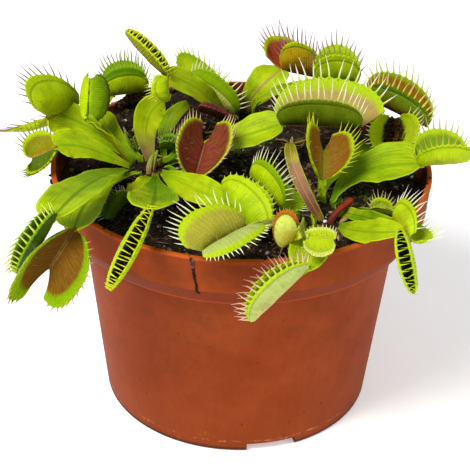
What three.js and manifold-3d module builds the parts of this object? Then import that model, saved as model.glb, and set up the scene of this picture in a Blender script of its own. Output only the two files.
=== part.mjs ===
import * as THREE from "three";
import { mergeVertices } from "three/addons/utils/BufferGeometryUtils.js";
import Module from "manifold-3d";

// A clump of three venus flytrap rosettes in a plastic grower's pot, in millimetres.
// The origin is the middle of the pot's underside: +Z up, -Y to the front, +X to the right.

// ---- Driving dimensions ----

const rimRadius = 60; // outside of the lip
const potHeight = 81;
const footRadius = 43.7; // outside of the body where it stands
const wall = 1.6;
const collarFoot = 63.4; // height of the ledge under the collar
const collarStep = 69; // height of the line round the collar
const channelHeight = 2.4; // the raised ring of the floor that drains
const channelInner = 20;
const channelOuter = 38.5;
const drainCount = 6;
const drainRadius = 3.5;
const drainCircle = 29;
const notchCount = 3;
const notchWidth = 16;
const notchHeight = 2.8;
const notchTurn = -74; // degrees from +X to the first notch in the foot ring
const potSides = 48;

const gap = 0.3; // between nodes that touch
const soilTop = 74.5;
const soilDip = 1.2; // how far the soil sinks beside the wall
const soilSides = 32;
const soilRings = [11, 24, 36, 47];
const lumpHeight = 0.7;

const bladeThickness = 0.9;
const trapThickness = 0.8;
const neckHalfWidth = 0.8;
const stalkHalfWidth = 0.9;
const rootDepth = 5; // how far a stalk goes down into the soil
const foldRise = 0.22; // rise of a blade's edge over its midrib, per unit of half-width
const edgeWave = 0.5; // how far a blade's edges ripple up and down
const bladeRings = 7;
const smallBladeRings = 5;
const stemSides = 7;

const colors = {
  pot: 0xa8502a,
  soil: 0x2b2019,
  green: 0x86a833,
  olive: 0x8f913d,
  yellow: 0xafba4e,
  dark: 0x5f7c2c,
  red: 0x8a4630,
  tan: 0x96702f,
};

// The middle of each rosette on the soil.
const crowns = { left: [-29.5, 5], middle: [-1.5, 40], right: [24, -19.5] };

// One row per leaf. A flytrap leaf is a flat blade with a trap at its tip, grown as one piece.
//   root    turn about the crown in degrees, and distance from the crown
//   widest  middle of the blade where it is broadest, with side, from there to its right edge
//   at      how far along the blade that is; taper, how slowly the blade widens up to it
//   ear     how far the shoulders reach past the neck; end, where a broad blade ends in a long neck
//   neck    where the blade meets the trap; tip, the far end of the trap's midrib
//   lobes   the middle of each lobe's margin; bulge, how far the lobes swell outwards
//   flare   how far each lobe reaches past the midrib's two ends, as a part of its length
//   teeth   teeth along the first lobe; tooth, their length
//   hook    how far the teeth lean over the mouth; round, 0.6 for round lobes and nearer 1 for pointed
const leaves = [
  {
    name: "left_01", crown: "left", root: [150, 6.2], color: colors.olive,
    widest: [-59.5, 13.5, 88.5], side: [1.5, 2.5, 4.5], at: 0.82, taper: 1.3,
    neck: [-62, 10, 89.5], tip: [-54.5, 20, 88], lobes: [[-66, 8, 105], [-76, 16, 82]],
    bulge: 2.5, flare: [[0.2, 0.42], [0.05, 0.4]], teeth: 9, tooth: 6,
  },
  {
    name: "left_02", crown: "left", root: [192, 6.2], color: colors.olive,
    widest: [-54.5, -3.5, 87], side: [-0.5, -4.5, -2], at: 0.76, taper: 1.2,
    neck: [-57.5, -6, 87.5], tip: [-64.5, -10, 85.5], lobes: [[-65, -2, 90.5], [-62.5, -18, 85]],
    bulge: 2, flare: [[0.1, 0.2], [0.05, 0.1]], teeth: 8, tooth: 5,
  },
  {
    name: "left_03", crown: "left", root: [205, 7.6], color: colors.dark,
    widest: [-48, -62, 99], side: [5, -5, 1], at: 0.84, taper: 1.1,
    neck: [-50, -69, 99], tip: [-60.5, -66, 79.5], lobes: [[-56.5, -73.5, 94.5], [-59.5, -67.5, 91.5]],
    bulge: 2, flare: [[0.1, 0.05], [0.1, 0.05]], teeth: 10, tooth: 3.8, hook: 0.7, round: 0.75,
  },
  {
    name: "left_04", crown: "left", root: [237, 5.4], color: colors.olive,
    widest: [-46, -48, 87.5], side: [6, -2, 0.5], at: 0.86, taper: 1.7,
    neck: [-45.5, -61, 91], tip: [-51, -74, 86], lobes: [[-56, -84, 93], [-41.5, -83, 87]],
    bulge: 2.5, flare: [[0.05, 0.6], [0.1, 0.45]], teeth: 10, tooth: 3.4,
  },
  {
    name: "left_05", crown: "left", root: [166, 6.6], color: colors.yellow,
    widest: [-46.5, 4, 91], side: [1, -1, -0.5], at: 0.8, taper: 0.6,
    neck: [-49, 6, 91.5], tip: [-48.5, 11, 103], lobes: [[-51, 15, 94.5], [-43.5, 17, 93.5]],
    bulge: 1.8, flare: [[0.05, 0.1], [0.05, 0.1]], teeth: 8, tooth: 2.6,
  },
  {
    name: "left_06", crown: "left", root: [126, 5.6], color: colors.green,
    widest: [-45, 21, 81.5], side: [4, 0, 1], at: 0.52, taper: 1, end: 0.74,
    neck: [-44, 33, 87], tip: [-32.5, 35, 88], lobes: [[-39.5, 30, 99], [-41.5, 45, 94.5]],
    bulge: 2, flare: [[0.2, 0.1], [0.2, 0.1]], teeth: 11, tooth: 5.5,
  },
  {
    name: "left_07", crown: "left", root: [88, 4.5], color: colors.yellow,
    widest: [-29, 9, 93.5], side: [4, -1, -0.5], at: 0.66, taper: 1.3, end: 0.9, stalk: 1.9,
    neck: [-23.5, 8, 98.5], tip: [-24, 11, 103.5], lobes: [[-29, 4, 103], [-29, 14, 100.5]],
    bulge: 1.8, flare: [[0.1, 0.1], [0.1, 0.1]], teeth: 8, tooth: 4.5,
  },
  {
    name: "middle_01", crown: "middle", root: [200, 4.2], color: colors.olive,
    widest: [-20, 20, 99], side: [1.5, 3, 2], at: 0.82, taper: 1.3,
    neck: [-25, 19, 101.5], tip: [-37.5, 23, 113.5], lobes: [[-29, 14, 111.5], [-28.5, 18, 111]],
    bulge: 1.7, flare: [[0.05, 0.05], [0.05, 0.05]], teeth: 9, tooth: 4, hook: 0.8, round: 0.9,
  },
  {
    name: "middle_02", crown: "middle", root: [155, 4.8], color: colors.green,
    widest: [-2, 38, 77.5], side: [0.5, 0, 0], at: 0.6, taper: 1,
    neck: [-4.5, 39, 78.5], tip: [-19.5, 43, 88.5], lobes: [[-7.5, 36, 93.5], [-13.5, 47, 93.5]],
    bulge: 2.5, flare: [[0.1, 0], [0.1, 0.2]], teeth: 10, tooth: 5.5,
  },
  {
    name: "middle_03", crown: "middle", root: [232, 5.6], color: colors.red,
    widest: [-2, 31, 79], side: [0, 0, 0], at: 0.6, taper: 1,
    neck: [-4, 24, 82.5], tip: [-13.5, 19, 89], lobes: [[-9.5, 13, 93.5], [-8.5, 23, 89]],
    bulge: 1, flare: [[0.05, 0.05], [0.05, 0.05]], teeth: 6, tooth: 3,
  },
  {
    name: "middle_04", crown: "middle", root: [75, 4.2], color: colors.yellow,
    widest: [8, 36.5, 92.5], side: [5, -2.5, -1], at: 0.74, taper: 1.6,
    neck: [12.5, 42, 94], tip: [25, 46, 89.5], lobes: [[18, 41, 104.5], [13.5, 50, 102.5]],
    bulge: 2, flare: [[0.05, 0.1], [0.3, 0.1]], teeth: 10, tooth: 6,
  },
  {
    name: "middle_05", crown: "middle", root: [12, 5.0], color: colors.green,
    widest: [6, 28, 90], side: [0, -1, -1], at: 0.45, taper: 0.8,
    neck: [25, 33, 94], tip: [37, 35, 93], lobes: [[30, 29, 106], [30.5, 41, 104]],
    bulge: 2, flare: [[0.15, 0.15], [0.15, 0.15]], teeth: 9, tooth: 5,
  },
  {
    name: "left_08", crown: "left", root: [15, 6.4], color: colors.olive,
    widest: [7, 5, 90], side: [1, -6, -2], at: 0.8, taper: 1.5,
    neck: [12.5, 5, 92], tip: [37, 1, 94], lobes: [[23, -3, 105], [25.5, 15, 104]],
    bulge: 2.6, flare: [[0.05, 0.02], [0.12, 0.28]], teeth: 12, tooth: 7,
  },
  {
    name: "middle_06", crown: "middle", root: [-25, 5.4], color: colors.olive,
    widest: [19.5, 36, 81], side: [0.5, -1, -1], at: 0.45, taper: 0.6,
    neck: [41.5, 29, 90.5], tip: [59.5, 17, 86.5], lobes: [[50.5, 20, 98], [52.5, 27, 99]],
    bulge: 2.2, flare: [[0.02, 0.05], [0.1, 0.05]], teeth: 10, tooth: 6,
  },
  {
    name: "right_01", crown: "right", root: [100, 4.6], color: colors.olive,
    widest: [25, -16, 80], side: [1, 0, 0], at: 0.6, taper: 0.8,
    neck: [25, -15, 83.5], tip: [25, -8, 89.5], lobes: [[20, -15, 97.5], [34, -12, 93.5]],
    bulge: 1.6, flare: [[0.1, 0.5], [0.1, 0.4]], teeth: 9, tooth: 5,
  },
  {
    name: "right_02", crown: "right", root: [42, 5.6], color: colors.green,
    widest: [47, -9, 86], side: [2, -8, -1], at: 0.8, taper: 1.7,
    neck: [54.5, -13, 88.5], tip: [67, -13, 90], lobes: [[60.5, -19, 99], [59, -3, 96]],
    bulge: 2.5, flare: [[0.12, 0.25], [0.1, 0.2]], teeth: 9, tooth: 5,
  },
  {
    name: "right_03", crown: "right", root: [72, 5.0], color: colors.dark,
    widest: [38.5, 9, 79], side: [4, 0, -1], at: 0.78, taper: 1.5,
    neck: [48, 10, 81.5], tip: [49, 18, 88.5], lobes: [[40.5, 8, 89], [55.5, 7, 91]],
    bulge: 1.5, flare: [[0.1, 0.1], [0.1, 0.1]], teeth: 8, tooth: 4.5,
  },
  {
    name: "left_09", crown: "left", root: [-10, 6.6], color: colors.red,
    widest: [-21.5, -1.5, 77], side: [0.5, -1.5, 0], at: 0.5, taper: 0.6,
    neck: [-14.5, -6, 78], tip: [-12, 3, 85], lobes: [[-19.5, -7, 92], [-4, -7, 90.5]],
    bulge: 1.8, flare: [[0.1, 0.5], [0.1, 0.5]], teeth: 11, tooth: 3.6,
  },
  {
    name: "left_10", crown: "left", root: [-46, 6.0], color: colors.green,
    widest: [-12, -22, 82], side: [-1.5, -4, -2], at: 0.74, taper: 1.8,
    neck: [-4, -31, 83.5], tip: [5, -42, 78.5], lobes: [[7, -36, 90], [8, -25, 84.5]],
    bulge: 2.3, flare: [[0.4, 0.1], [0.2, 0.02]], teeth: 9, tooth: 1.4,
  },
  {
    name: "right_04", crown: "right", root: [222.9, 7.8], color: colors.yellow,
    widest: [6.5, -51, 88], side: [0, -1, -0.5], at: 0.6, taper: 0.6,
    neck: [0.5, -55, 88], tip: [-9.5, -64, 86.5], lobes: [[-12.5, -60, 97], [0, -68, 91]],
    bulge: -2, flare: [[0.32, 0.25], [0.45, 0.15]], teeth: 11, tooth: 7,
  },
  {
    name: "right_05", crown: "right", root: [163, 5.0], color: colors.green,
    widest: [16, -23.5, 76], side: [0, -0.5, -0.5], at: 0.6, taper: 0.6,
    neck: [12, -22, 77], tip: [3.5, -12, 81.5], lobes: [[10, -20, 90], [17.5, -15, 79]],
    bulge: 2.2, flare: [[0.1, 0.1], [0.1, 0.1]], teeth: 10, tooth: 5,
  },
  {
    name: "right_06", crown: "right", root: [274, 7.0], color: colors.tan,
    widest: [16, -20, 90], side: [2, 0, 0], at: 0.62, taper: 0.6,
    neck: [14.5, -12, 94],
  },
  {
    name: "right_07", crown: "right", root: [240, 8.7], color: colors.yellow,
    widest: [17.5, -54, 88.5], side: [0.5, -1, -1], at: 0.5, taper: 0.6,
    neck: [16, -55, 87], tip: [12.5, -54, 82.5], lobes: [[11, -53, 93.5], [12, -48, 90.5]],
    bulge: 1.2, flare: [[0.3, 0.3], [0.3, 0.3]], teeth: 6, tooth: 1,
  },
  {
    name: "right_08", crown: "right", root: [251, 5.2], color: colors.yellow,
    widest: [21.5, -48.5, 85], side: [0.5, -0.5, -0.5], at: 0.5, taper: 0.6,
    neck: [19, -58, 88.5], tip: [25.5, -65, 92.5], lobes: [[23, -56, 91], [21.5, -71, 91]],
    bulge: 1.4, flare: [[0.15, 0.1], [0.15, 0.1]], teeth: 7, tooth: 2.4,
  },
  {
    name: "right_09", crown: "right", root: [272, 10.3], color: colors.yellow,
    widest: [19.5, -57, 82.5], side: [5.5, 0, -0.5], at: 0.78, taper: 1.6,
    neck: [18.5, -67, 83.5], tip: [5, -70, 68.5], lobes: [[6.5, -76, 84], [6, -68, 80.5]],
    bulge: 2, flare: [[0.1, 0.05], [0.1, 0.05]], teeth: 11, tooth: 5, round: 0.8,
  },
  {
    name: "right_10", crown: "right", root: [300, 11.6], color: colors.green,
    widest: [38.5, -50, 86], side: [-1, -4, -1], at: 0.7, taper: 1.4,
    neck: [45, -57, 90.5], tip: [49.5, -61, 74], lobes: [[44, -69.5, 88.5], [47, -67.5, 87.5]],
    bulge: 1.6, flare: [[0.05, 0.05], [0.05, 0.05]], teeth: 9, tooth: 1.8, hook: 0.7,
  },
  {
    name: "right_11", crown: "right", root: [342, 6.4], color: colors.yellow,
    widest: [37, -31, 80], side: [0.5, -2, 0], at: 0.6, taper: 0.6,
    neck: [45, -43, 85], tip: [48.5, -52, 85.5], lobes: [[49, -43, 92], [54.5, -46, 85]],
    bulge: 2.2, flare: [[0.25, 0.2], [0.25, 0.2]], teeth: 8, tooth: 5,
  },
  {
    name: "right_12", crown: "right", root: [20, 5.4], color: colors.dark,
    widest: [35, -21, 76], side: [1, -1, 0], at: 0.6, taper: 0.6,
    neck: [45.5, -25, 77.5], tip: [40, -25, 78], lobes: [[42.5, -24, 82.5], [41.5, -31, 84]],
    bulge: 1, flare: [[0.15, 0.15], [0.15, 0.15]], teeth: 7, tooth: 3,
  },
  {
    name: "left_11", crown: "left", root: [96, 8.7], color: colors.dark,
    widest: [-34, 11, 79], side: [0, 0, 0], at: 0.6, taper: 0.6,
    neck: [-34, 11, 78], tip: [-35.5, 14, 80.5], lobes: [[-37, 11, 83], [-32.5, 15, 81]],
    bulge: 1, flare: [[0.1, 0.1], [0.1, 0.1]], teeth: 6, tooth: 3,
  },
  {
    name: "left_12", crown: "left", root: [42, 5.0], color: colors.dark,
    widest: [-22, 5, 79], side: [1, 0, -1], at: 0.6, taper: 0.6,
    neck: [-20, 6, 81.5], tip: [-25.5, 7, 81.5], lobes: [[-23, 9, 85.5], [-22.5, 0, 88]],
    bulge: 1, flare: [[0.15, 0.15], [0.15, 0.15]], teeth: 7, tooth: 3,
  },
  {
    name: "left_13", crown: "left", root: [54, 7.5], color: colors.green,
    widest: [-24, 21, 84], side: [2, -1, -1], at: 0.6, taper: 0.9,
    neck: [-18, 24, 89],
  },
  {
    name: "left_14", crown: "left", root: [294, 5.4], color: colors.green,
    widest: [-25.5, -36, 86], side: [7.5, 0, -0.5], at: 0.72, taper: 2.2, ear: 3,
    neck: [-25.5, -48, 90.5], tip: [-34.5, -76, 82], lobes: [[-31, -70, 91.5], [-28.5, -69, 89.5]],
    bulge: 1.7, flare: [[0.03, 0.03], [0.03, 0.03]], teeth: 9, tooth: 1.9, hook: 0.9,
  },
  {
    name: "left_15", crown: "left", root: [271, 7.5], color: colors.green,
    widest: [-32, -12.5, 77.5], side: [2, -1.5, 0], at: 0.66, taper: 1.2,
    neck: [-34, -19, 77.5], tip: [-38.5, -30, 76], lobes: [[-40.5, -24.5, 79], [-39, -17.5, 76.5]],
    bulge: 1.8, flare: [[0.1, 0.1], [0.1, 0.1]], teeth: 8, tooth: 3.3,
  },
];

// Short stems at the crowns: the newest leaves still rolled up, a flower stalk cut off, and the
// stump of an old leaf. Each stem runs from its foot on the soil to its tip, with radii along it.
const stems = [
  {
    name: "young_leaves", color: colors.tan,
    parts: [
      { foot: [-29.4, 2.8], tip: [-28.2, 4.6, 80.2], radii: [1, 1.1, 0.9, 0.4] },
      { foot: [-28.3, 3.6], tip: [-26.9, 5.6, 81], radii: [1, 1, 0.8, 0.4] },
    ],
  },
  {
    name: "flower_stalk", color: colors.red,
    parts: [{ foot: [27.6, -26.5], tip: [33.4, -22.5, 80.8], radii: [1.2, 1.1, 1.05, 1.1] }],
  },
  {
    name: "old_leaf_stump", color: colors.tan,
    parts: [{ foot: [30.6, -27.2], tip: [32, -28.2, 77.4], radii: [0.8, 0.8, 0.8, 0.5] }],
  },
];

// ---- Solids ----

const wasm = await Module();
wasm.setup();

/** A closed geometry as a solid that can be joined and cut. */
function solidFrom(geometry) {
  const bare = geometry.clone();
  bare.deleteAttribute("normal");
  bare.deleteAttribute("uv");
  const merged = mergeVertices(bare, 1e-4);
  return new wasm.Manifold(
    new wasm.Mesh({
      numProp: 3,
      vertProperties: merged.attributes.position.array,
      triVerts: new Uint32Array(merged.index.array),
    }),
  );
}

/** Points and triangles as a solid. */
function solidFromTriangles(points, triangles) {
  const geometry = new THREE.BufferGeometry().setFromPoints(points);
  geometry.setIndex(triangles);
  return solidFrom(geometry);
}

/** A solid as a flat-shaded mesh with its own material. */
function meshFrom(name, solid, color, roughness) {
  const made = solid.getMesh();
  const geometry = new THREE.BufferGeometry();
  geometry.setAttribute("position", new THREE.BufferAttribute(made.vertProperties, 3));
  geometry.setIndex(new THREE.BufferAttribute(made.triVerts, 1));
  geometry.computeVertexNormals();
  const material = new THREE.MeshStandardMaterial({ color, roughness, metalness: 0, flatShading: true });
  const mesh = new THREE.Mesh(geometry, material);
  mesh.name = name;
  return mesh;
}

/** An upright cylinder from one height to another. */
function post(x, y, low, high, radius, sides) {
  const cylinder = new THREE.CylinderGeometry(radius, radius, high - low, sides);
  cylinder.rotateX(Math.PI / 2);
  cylinder.translate(x, y, (low + high) / 2);
  return solidFrom(cylinder);
}

/** A profile of [radius, height] points turned about the Z axis. */
function turned(profile, sides) {
  const lathe = new THREE.LatheGeometry(
    profile.map(([radius, height]) => new THREE.Vector2(radius, height)),
    sides,
  );
  lathe.rotateX(Math.PI / 2);
  return solidFrom(lathe);
}

const radians = THREE.MathUtils.degToRad;
const vector = (point) => new THREE.Vector3(...point);

/** The middle of a and b, or any other part of the way from a to b. */
const between = (a, b, part) => a.clone().lerp(b, part);

// ---- Pot ----

/** The inside wall's radius at a height above the floor. */
const innerWall = [
  [42.1, channelHeight + wall],
  [49, 62.4],
  [53.8, 65.6],
  [57, 70],
  [58.2, potHeight],
];

/** Wall, collar, floor and foot ring in one turned shell, with its drain holes and foot notches. */
function makePot() {
  const floorTop = channelHeight + wall;
  const shell = turned(
    [
      [0, 0],
      [channelInner, 0],
      [channelInner + 1, channelHeight],
      [channelOuter, channelHeight],
      [channelOuter + 0.8, 0],
      [footRadius, 0],
      [50.5, collarFoot - 0.4],
      [55.2, collarFoot],
      [58.6, collarStep],
      [59, collarStep + 0.4],
      [rimRadius - 0.3, potHeight - 1.4],
      [rimRadius, potHeight - 0.6],
      [rimRadius - 0.5, potHeight],
      ...innerWall.toReversed(),
      [channelInner + 0.6, floorTop],
      [channelInner - 0.4, wall],
      [0, wall],
    ],
    potSides,
  );
  let pot = shell;
  for (let i = 0; i < drainCount; i++) {
    const turn = (i / drainCount) * 2 * Math.PI;
    const [x, y] = [drainCircle * Math.cos(turn), drainCircle * Math.sin(turn)];
    pot = pot.subtract(post(x, y, channelHeight - 1, floorTop + 1, drainRadius, 10));
  }
  for (let i = 0; i < notchCount; i++) {
    const depth = footRadius - channelOuter + 4;
    const notch = new THREE.BoxGeometry(depth, notchWidth, notchHeight * 2);
    notch.translate((footRadius + channelOuter) / 2, 0, 0);
    notch.rotateZ(radians(notchTurn) + (i / notchCount) * 2 * Math.PI);
    pot = pot.subtract(solidFrom(notch));
  }
  return meshFrom("pot", pot, colors.pot, 0.45);
}

// ---- Soil ----

/** Height of the soil at a place, with low lumps and a dip beside the wall. */
function soilHeight(x, y) {
  const out = Math.hypot(x, y) / innerWall[4][0];
  const lumps = Math.sin(x * 0.31 + 1.1) * Math.cos(y * 0.27 - 0.4) + 0.5 * Math.sin(x * 0.13 - y * 0.19);
  return soilTop + (lumpHeight * lumps) / 1.5 - soilDip * out ** 4;
}

/** The hole in the soil that a stalk of some half-width stands in. */
function rootHole(x, y, halfWidth) {
  return post(x, y, soilTop - rootDepth - gap, soilTop + 4, halfWidth + gap + 0.15, 7);
}

/** The soil fills the pot from its floor to just under the lip. */
function makeSoil(holes) {
  const side = innerWall.slice(0, 4).map(([radius, height]) => [radius - gap, height]);
  side[0][1] += gap;
  const edge = innerWall[3][0] + 0.35 - gap;
  const rings = [...side.map(([radius, height]) => ({ radius, height }))];
  rings.push({ radius: edge });
  for (const radius of soilRings.toReversed()) rings.push({ radius });
  const points = [];
  for (const { radius, height } of rings) {
    for (let i = 0; i < soilSides; i++) {
      const turn = (i / soilSides) * 2 * Math.PI;
      const [x, y] = [radius * Math.cos(turn), radius * Math.sin(turn)];
      points.push(new THREE.Vector3(x, y, height ?? soilHeight(x, y)));
    }
  }
  const triangles = [];
  for (let ring = 0; ring + 1 < rings.length; ring++) {
    for (let i = 0; i < soilSides; i++) {
      const next = (i + 1) % soilSides;
      const [a, b] = [ring * soilSides + i, ring * soilSides + next];
      triangles.push(a, b, b + soilSides, a, b + soilSides, a + soilSides);
    }
  }
  const top = points.push(new THREE.Vector3(0, 0, soilHeight(0, 0))) - 1;
  const bottom = points.push(new THREE.Vector3(0, 0, side[0][1])) - 1;
  const last = (rings.length - 1) * soilSides;
  for (let i = 0; i < soilSides; i++) {
    const next = (i + 1) % soilSides;
    triangles.push(last + i, last + next, top, next, i, bottom);
  }
  let soil = solidFromTriangles(points, triangles);
  for (const hole of holes) soil = soil.subtract(hole);
  return meshFrom("soil", soil, colors.soil, 0.95);
}

// ---- Leaves ----

/** Where a leaf's stalk leaves the soil. */
function rootOf({ crown, root }) {
  const [turn, distance] = root;
  const [x, y] = crowns[crown];
  const angle = radians(turn);
  return new THREE.Vector3(x + distance * Math.cos(angle), y + distance * Math.sin(angle), soilTop + 1.5);
}

/** Half-width of a blade, from 0 to 1, narrow at the root and heart-shaped at the end. */
function bladeOutline(t, { at, taper, end = 1 }) {
  if (t < at) return Math.sin((Math.PI / 2) * (t / at)) ** taper;
  const past = Math.min(1, (t - at) / (end - at));
  return Math.max(0, 1 - past ** 2.2) ** 0.6;
}

/** A closed sheet from rings of points: each ring runs round the sheet's section. */
function loft(rings) {
  const count = rings[0].length;
  const points = rings.flat();
  const triangles = [];
  for (let ring = 0; ring + 1 < rings.length; ring++) {
    for (let i = 0; i < count; i++) {
      const next = (i + 1) % count;
      const [a, b] = [ring * count + i, ring * count + next];
      triangles.push(a, b, b + count, a, b + count, a + count);
    }
  }
  const last = (rings.length - 1) * count;
  for (let i = 1; i + 1 < count; i++) {
    triangles.push(0, i + 1, i, last, last + i, last + i + 1);
  }
  return solidFromTriangles(points, triangles);
}

/** The blade with its stalk: a folded sheet along a curve from the soil to the neck. */
function bladeSolid(leaf) {
  const { at, ear = 1.2, stalk = stalkHalfWidth } = leaf;
  const foot = rootOf(leaf);
  const neck = vector(leaf.neck);
  const widest = vector(leaf.widest);
  const side = vector(leaf.side);
  const halfWidth = side.length();
  const bend = widest
    .clone()
    .addScaledVector(foot, -((1 - at) ** 2))
    .addScaledVector(neck, -(at ** 2))
    .divideScalar(2 * at * (1 - at));
  const path = new THREE.QuadraticBezierCurve3(foot, bend, neck);
  const upright = new THREE.Vector3(0, 0, 1);
  const flip = side.clone().cross(path.getTangent(at)).z < 0 ? -1 : 1;

  /** One section of six points: three across the top face and three back across the lower. */
  function section(centre, along, t, outline) {
    const across = side.clone().addScaledVector(along, -side.dot(along)).normalize();
    const up = across.clone().cross(along).multiplyScalar(flip);
    const half = THREE.MathUtils.lerp(stalk, neckHalfWidth, t) + (halfWidth - 0.85) * outline;
    const edge = (sign) => {
      const ripple = edgeWave * outline * Math.sin(t * 14 + sign * 2);
      return centre
        .clone()
        .addScaledVector(across, sign * half)
        .addScaledVector(up, foldRise * half + ripple)
        .addScaledVector(along, ear * outline * t ** 3);
    };
    const top = [edge(-1), centre, edge(1)];
    const lower = top.map((point) => point.clone().addScaledVector(up, -bladeThickness));
    const ring = [...top, ...lower.reverse()];
    return flip > 0 ? ring : ring.reverse();
  }

  const below = foot.clone().addScaledVector(upright, -1.5 - rootDepth);
  const start = path.getTangent(0).add(upright).normalize();
  const rings = [section(below, upright, 0, 0), section(foot, start, 0, 0)];
  const steps = halfWidth > 2.6 ? bladeRings : smallBladeRings;
  for (let i = 1; i <= steps; i++) {
    const t = i / steps;
    rings.push(section(path.getPoint(t), path.getTangent(t), t, bladeOutline(t, leaf)));
  }
  if (leaf.tip) {
    const hinge = vector(leaf.tip).sub(neck).normalize();
    rings.push(section(neck.clone().addScaledVector(hinge, 1.6), hinge, 1, 0));
  }
  return loft(rings);
}

const lobeStart = 0.14; // angle round a lobe's outline at which its margin begins
const lobeRows = [0, 0.52, 1]; // from the midrib to the margin
const lobeColumns = 6;

/** One lobe of a trap: a swollen half-oval between the midrib and its margin. */
function lobeShape(leaf, which) {
  const neck = vector(leaf.neck);
  const tip = vector(leaf.tip);
  const middle = between(neck, tip, 0.5);
  const halfRib = tip.clone().sub(middle);
  const rise = vector(leaf.lobes[which]).sub(middle);
  const other = vector(leaf.lobes[1 - which]).sub(middle);
  const outward = halfRib.clone().cross(rise).normalize();
  const turned = outward.dot(rise.clone().normalize().sub(other.clone().normalize())) < 0;
  if (turned) outward.negate();
  const [flareNeck, flareTip] = leaf.flare[which];

  /** Middle surface of the lobe: u from neck to tip, v from midrib to margin. */
  function point(u, v) {
    const angle = lobeStart + (Math.PI - 2 * lobeStart) * u;
    const along = -Math.cos(angle) / Math.cos(lobeStart);
    const height = Math.sin(angle) ** (leaf.round ?? 0.6);
    const reach = 1 + 2 * v * (along < 0 ? flareNeck : flareTip);
    return middle
      .clone()
      .addScaledVector(halfRib, along * reach)
      .addScaledVector(rise, height * v)
      .addScaledVector(outward, leaf.bulge * Math.sin(Math.PI * v ** 0.9) * height);
  }

  /** Unit normal of that surface, on its outer side. */
  function normal(u, v) {
    const step = 0.02;
    const alongU = point(Math.min(1, u + step), v).sub(point(Math.max(0, u - step), v));
    const alongV = point(u, Math.min(1, v + step)).sub(point(u, Math.max(0, v - step)));
    const found = alongU.cross(alongV).normalize();
    return found.dot(outward) < 0 ? found.negate() : found;
  }

  return { point, normal, rise, halfRib, outward, turned };
}

/** Where the teeth stand along a margin, as pairs of places; the two lobes' teeth alternate. */
function toothPlaces(teeth, which) {
  const count = teeth - which;
  const half = 0.2 / teeth;
  return Array.from({ length: count }, (_, i) => {
    const middle = (i + 0.5 + which / 2) / teeth;
    return [middle - half, middle + half];
  });
}

/** Triangles between two rows of points that run the same way with different spacing. */
function zip(rowA, placesA, rowB, placesB) {
  const triangles = [];
  let [i, j] = [0, 0];
  while (i + 1 < rowA.length || j + 1 < rowB.length) {
    const nextA = i + 1 < rowA.length ? placesA[i + 1] : Infinity;
    const nextB = j + 1 < rowB.length ? placesB[j + 1] : Infinity;
    if (nextA < nextB) triangles.push([rowA[i], rowA[++i], rowB[j]]);
    else triangles.push([rowA[i], rowB[j + 1], rowB[j++]]);
  }
  return triangles;
}

/** The trap: two lobes hinged on one midrib, with a fringe of teeth on each margin. */
function trapSolid(leaf) {
  const shapes = [lobeShape(leaf, 0), lobeShape(leaf, 1)];
  const points = [];
  const even = Array.from({ length: lobeColumns }, (_, i) => i / (lobeColumns - 1));

  /** A row of points on both faces of the sheet; lobe 0's inner face is face 0. */
  function row(places, pointAt, normalAt) {
    return places.map((u) => {
      const offset = normalAt(u).multiplyScalar(trapThickness / 2);
      return [points.push(pointAt(u).sub(offset)) - 1, points.push(pointAt(u).add(offset)) - 1];
    });
  }

  const ribPoint = (u) => shapes[0].point(u, 0);
  const ribNormal = (u) => {
    const sum = shapes[0].normal(u, 0).add(shapes[1].normal(u, 0));
    return sum.lengthSq() > 0.01 ? sum.normalize() : shapes[0].rise.clone().negate().normalize();
  };
  const rib = row(even, ribPoint, ribNormal);
  const triangles = [];

  /** Adds a strip of the sheet between two rows, on both faces. */
  function addStrip(inner, innerPlaces, outer, outerPlaces, turned) {
    for (const [face, flipped] of [[0, turned], [1, !turned]]) {
      const from = inner.map((pair) => pair[face]);
      const to = outer.map((pair) => pair[face]);
      for (const [a, b, c] of zip(from, innerPlaces, to, outerPlaces)) {
        triangles.push(...(flipped ? [a, b, c] : [a, c, b]));
      }
    }
  }

  /** Adds the narrow wall between the two faces along one pair of points. */
  function addWall([a0, a1], [b0, b1], flipped) {
    triangles.push(...(flipped ? [a0, b0, b1, a0, b1, a1] : [a0, b1, b0, a0, a1, b1]));
  }

  shapes.forEach((shape, which) => {
    const { turned } = shape;
    let previous = rib;
    const ends = [[rib[0]], [rib.at(-1)]];
    for (const v of lobeRows.slice(1, -1)) {
      const next = row(even, (u) => shape.point(u, v), (u) => shape.normal(u, v));
      addStrip(previous, even, next, even, turned);
      ends[0].push(next[0]);
      ends[1].push(next.at(-1));
      previous = next;
    }
    const pairs = toothPlaces(leaf.teeth, which);
    const places = [0, ...pairs.flat(), 1];
    const margin = row(places, (u) => shape.point(u, 1), (u) => shape.normal(u, 1));
    addStrip(previous, even, margin, places, turned);
    ends[0].push(margin[0]);
    ends[1].push(margin.at(-1));
    for (let i = 0; i + 1 < ends[0].length; i++) {
      addWall(ends[0][i], ends[0][i + 1], turned);
      addWall(ends[1][i], ends[1][i + 1], !turned);
    }
    for (let i = 0; i + 1 < margin.length; i++) {
      if (i % 2 === 0) {
        addWall(margin[i], margin[i + 1], turned);
        continue;
      }
      const middle = (places[i] + places[i + 1]) / 2;
      const apex = points.push(toothTip(leaf, shape, middle)) - 1;
      const [[a0, a1], [b0, b1]] = [margin[i], margin[i + 1]];
      for (const [from, to] of [[a0, b0], [b0, b1], [b1, a1], [a1, a0]]) {
        triangles.push(...(turned ? [from, to, apex] : [to, from, apex]));
      }
    }
  });
  return solidFromTriangles(points, triangles);
}

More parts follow.
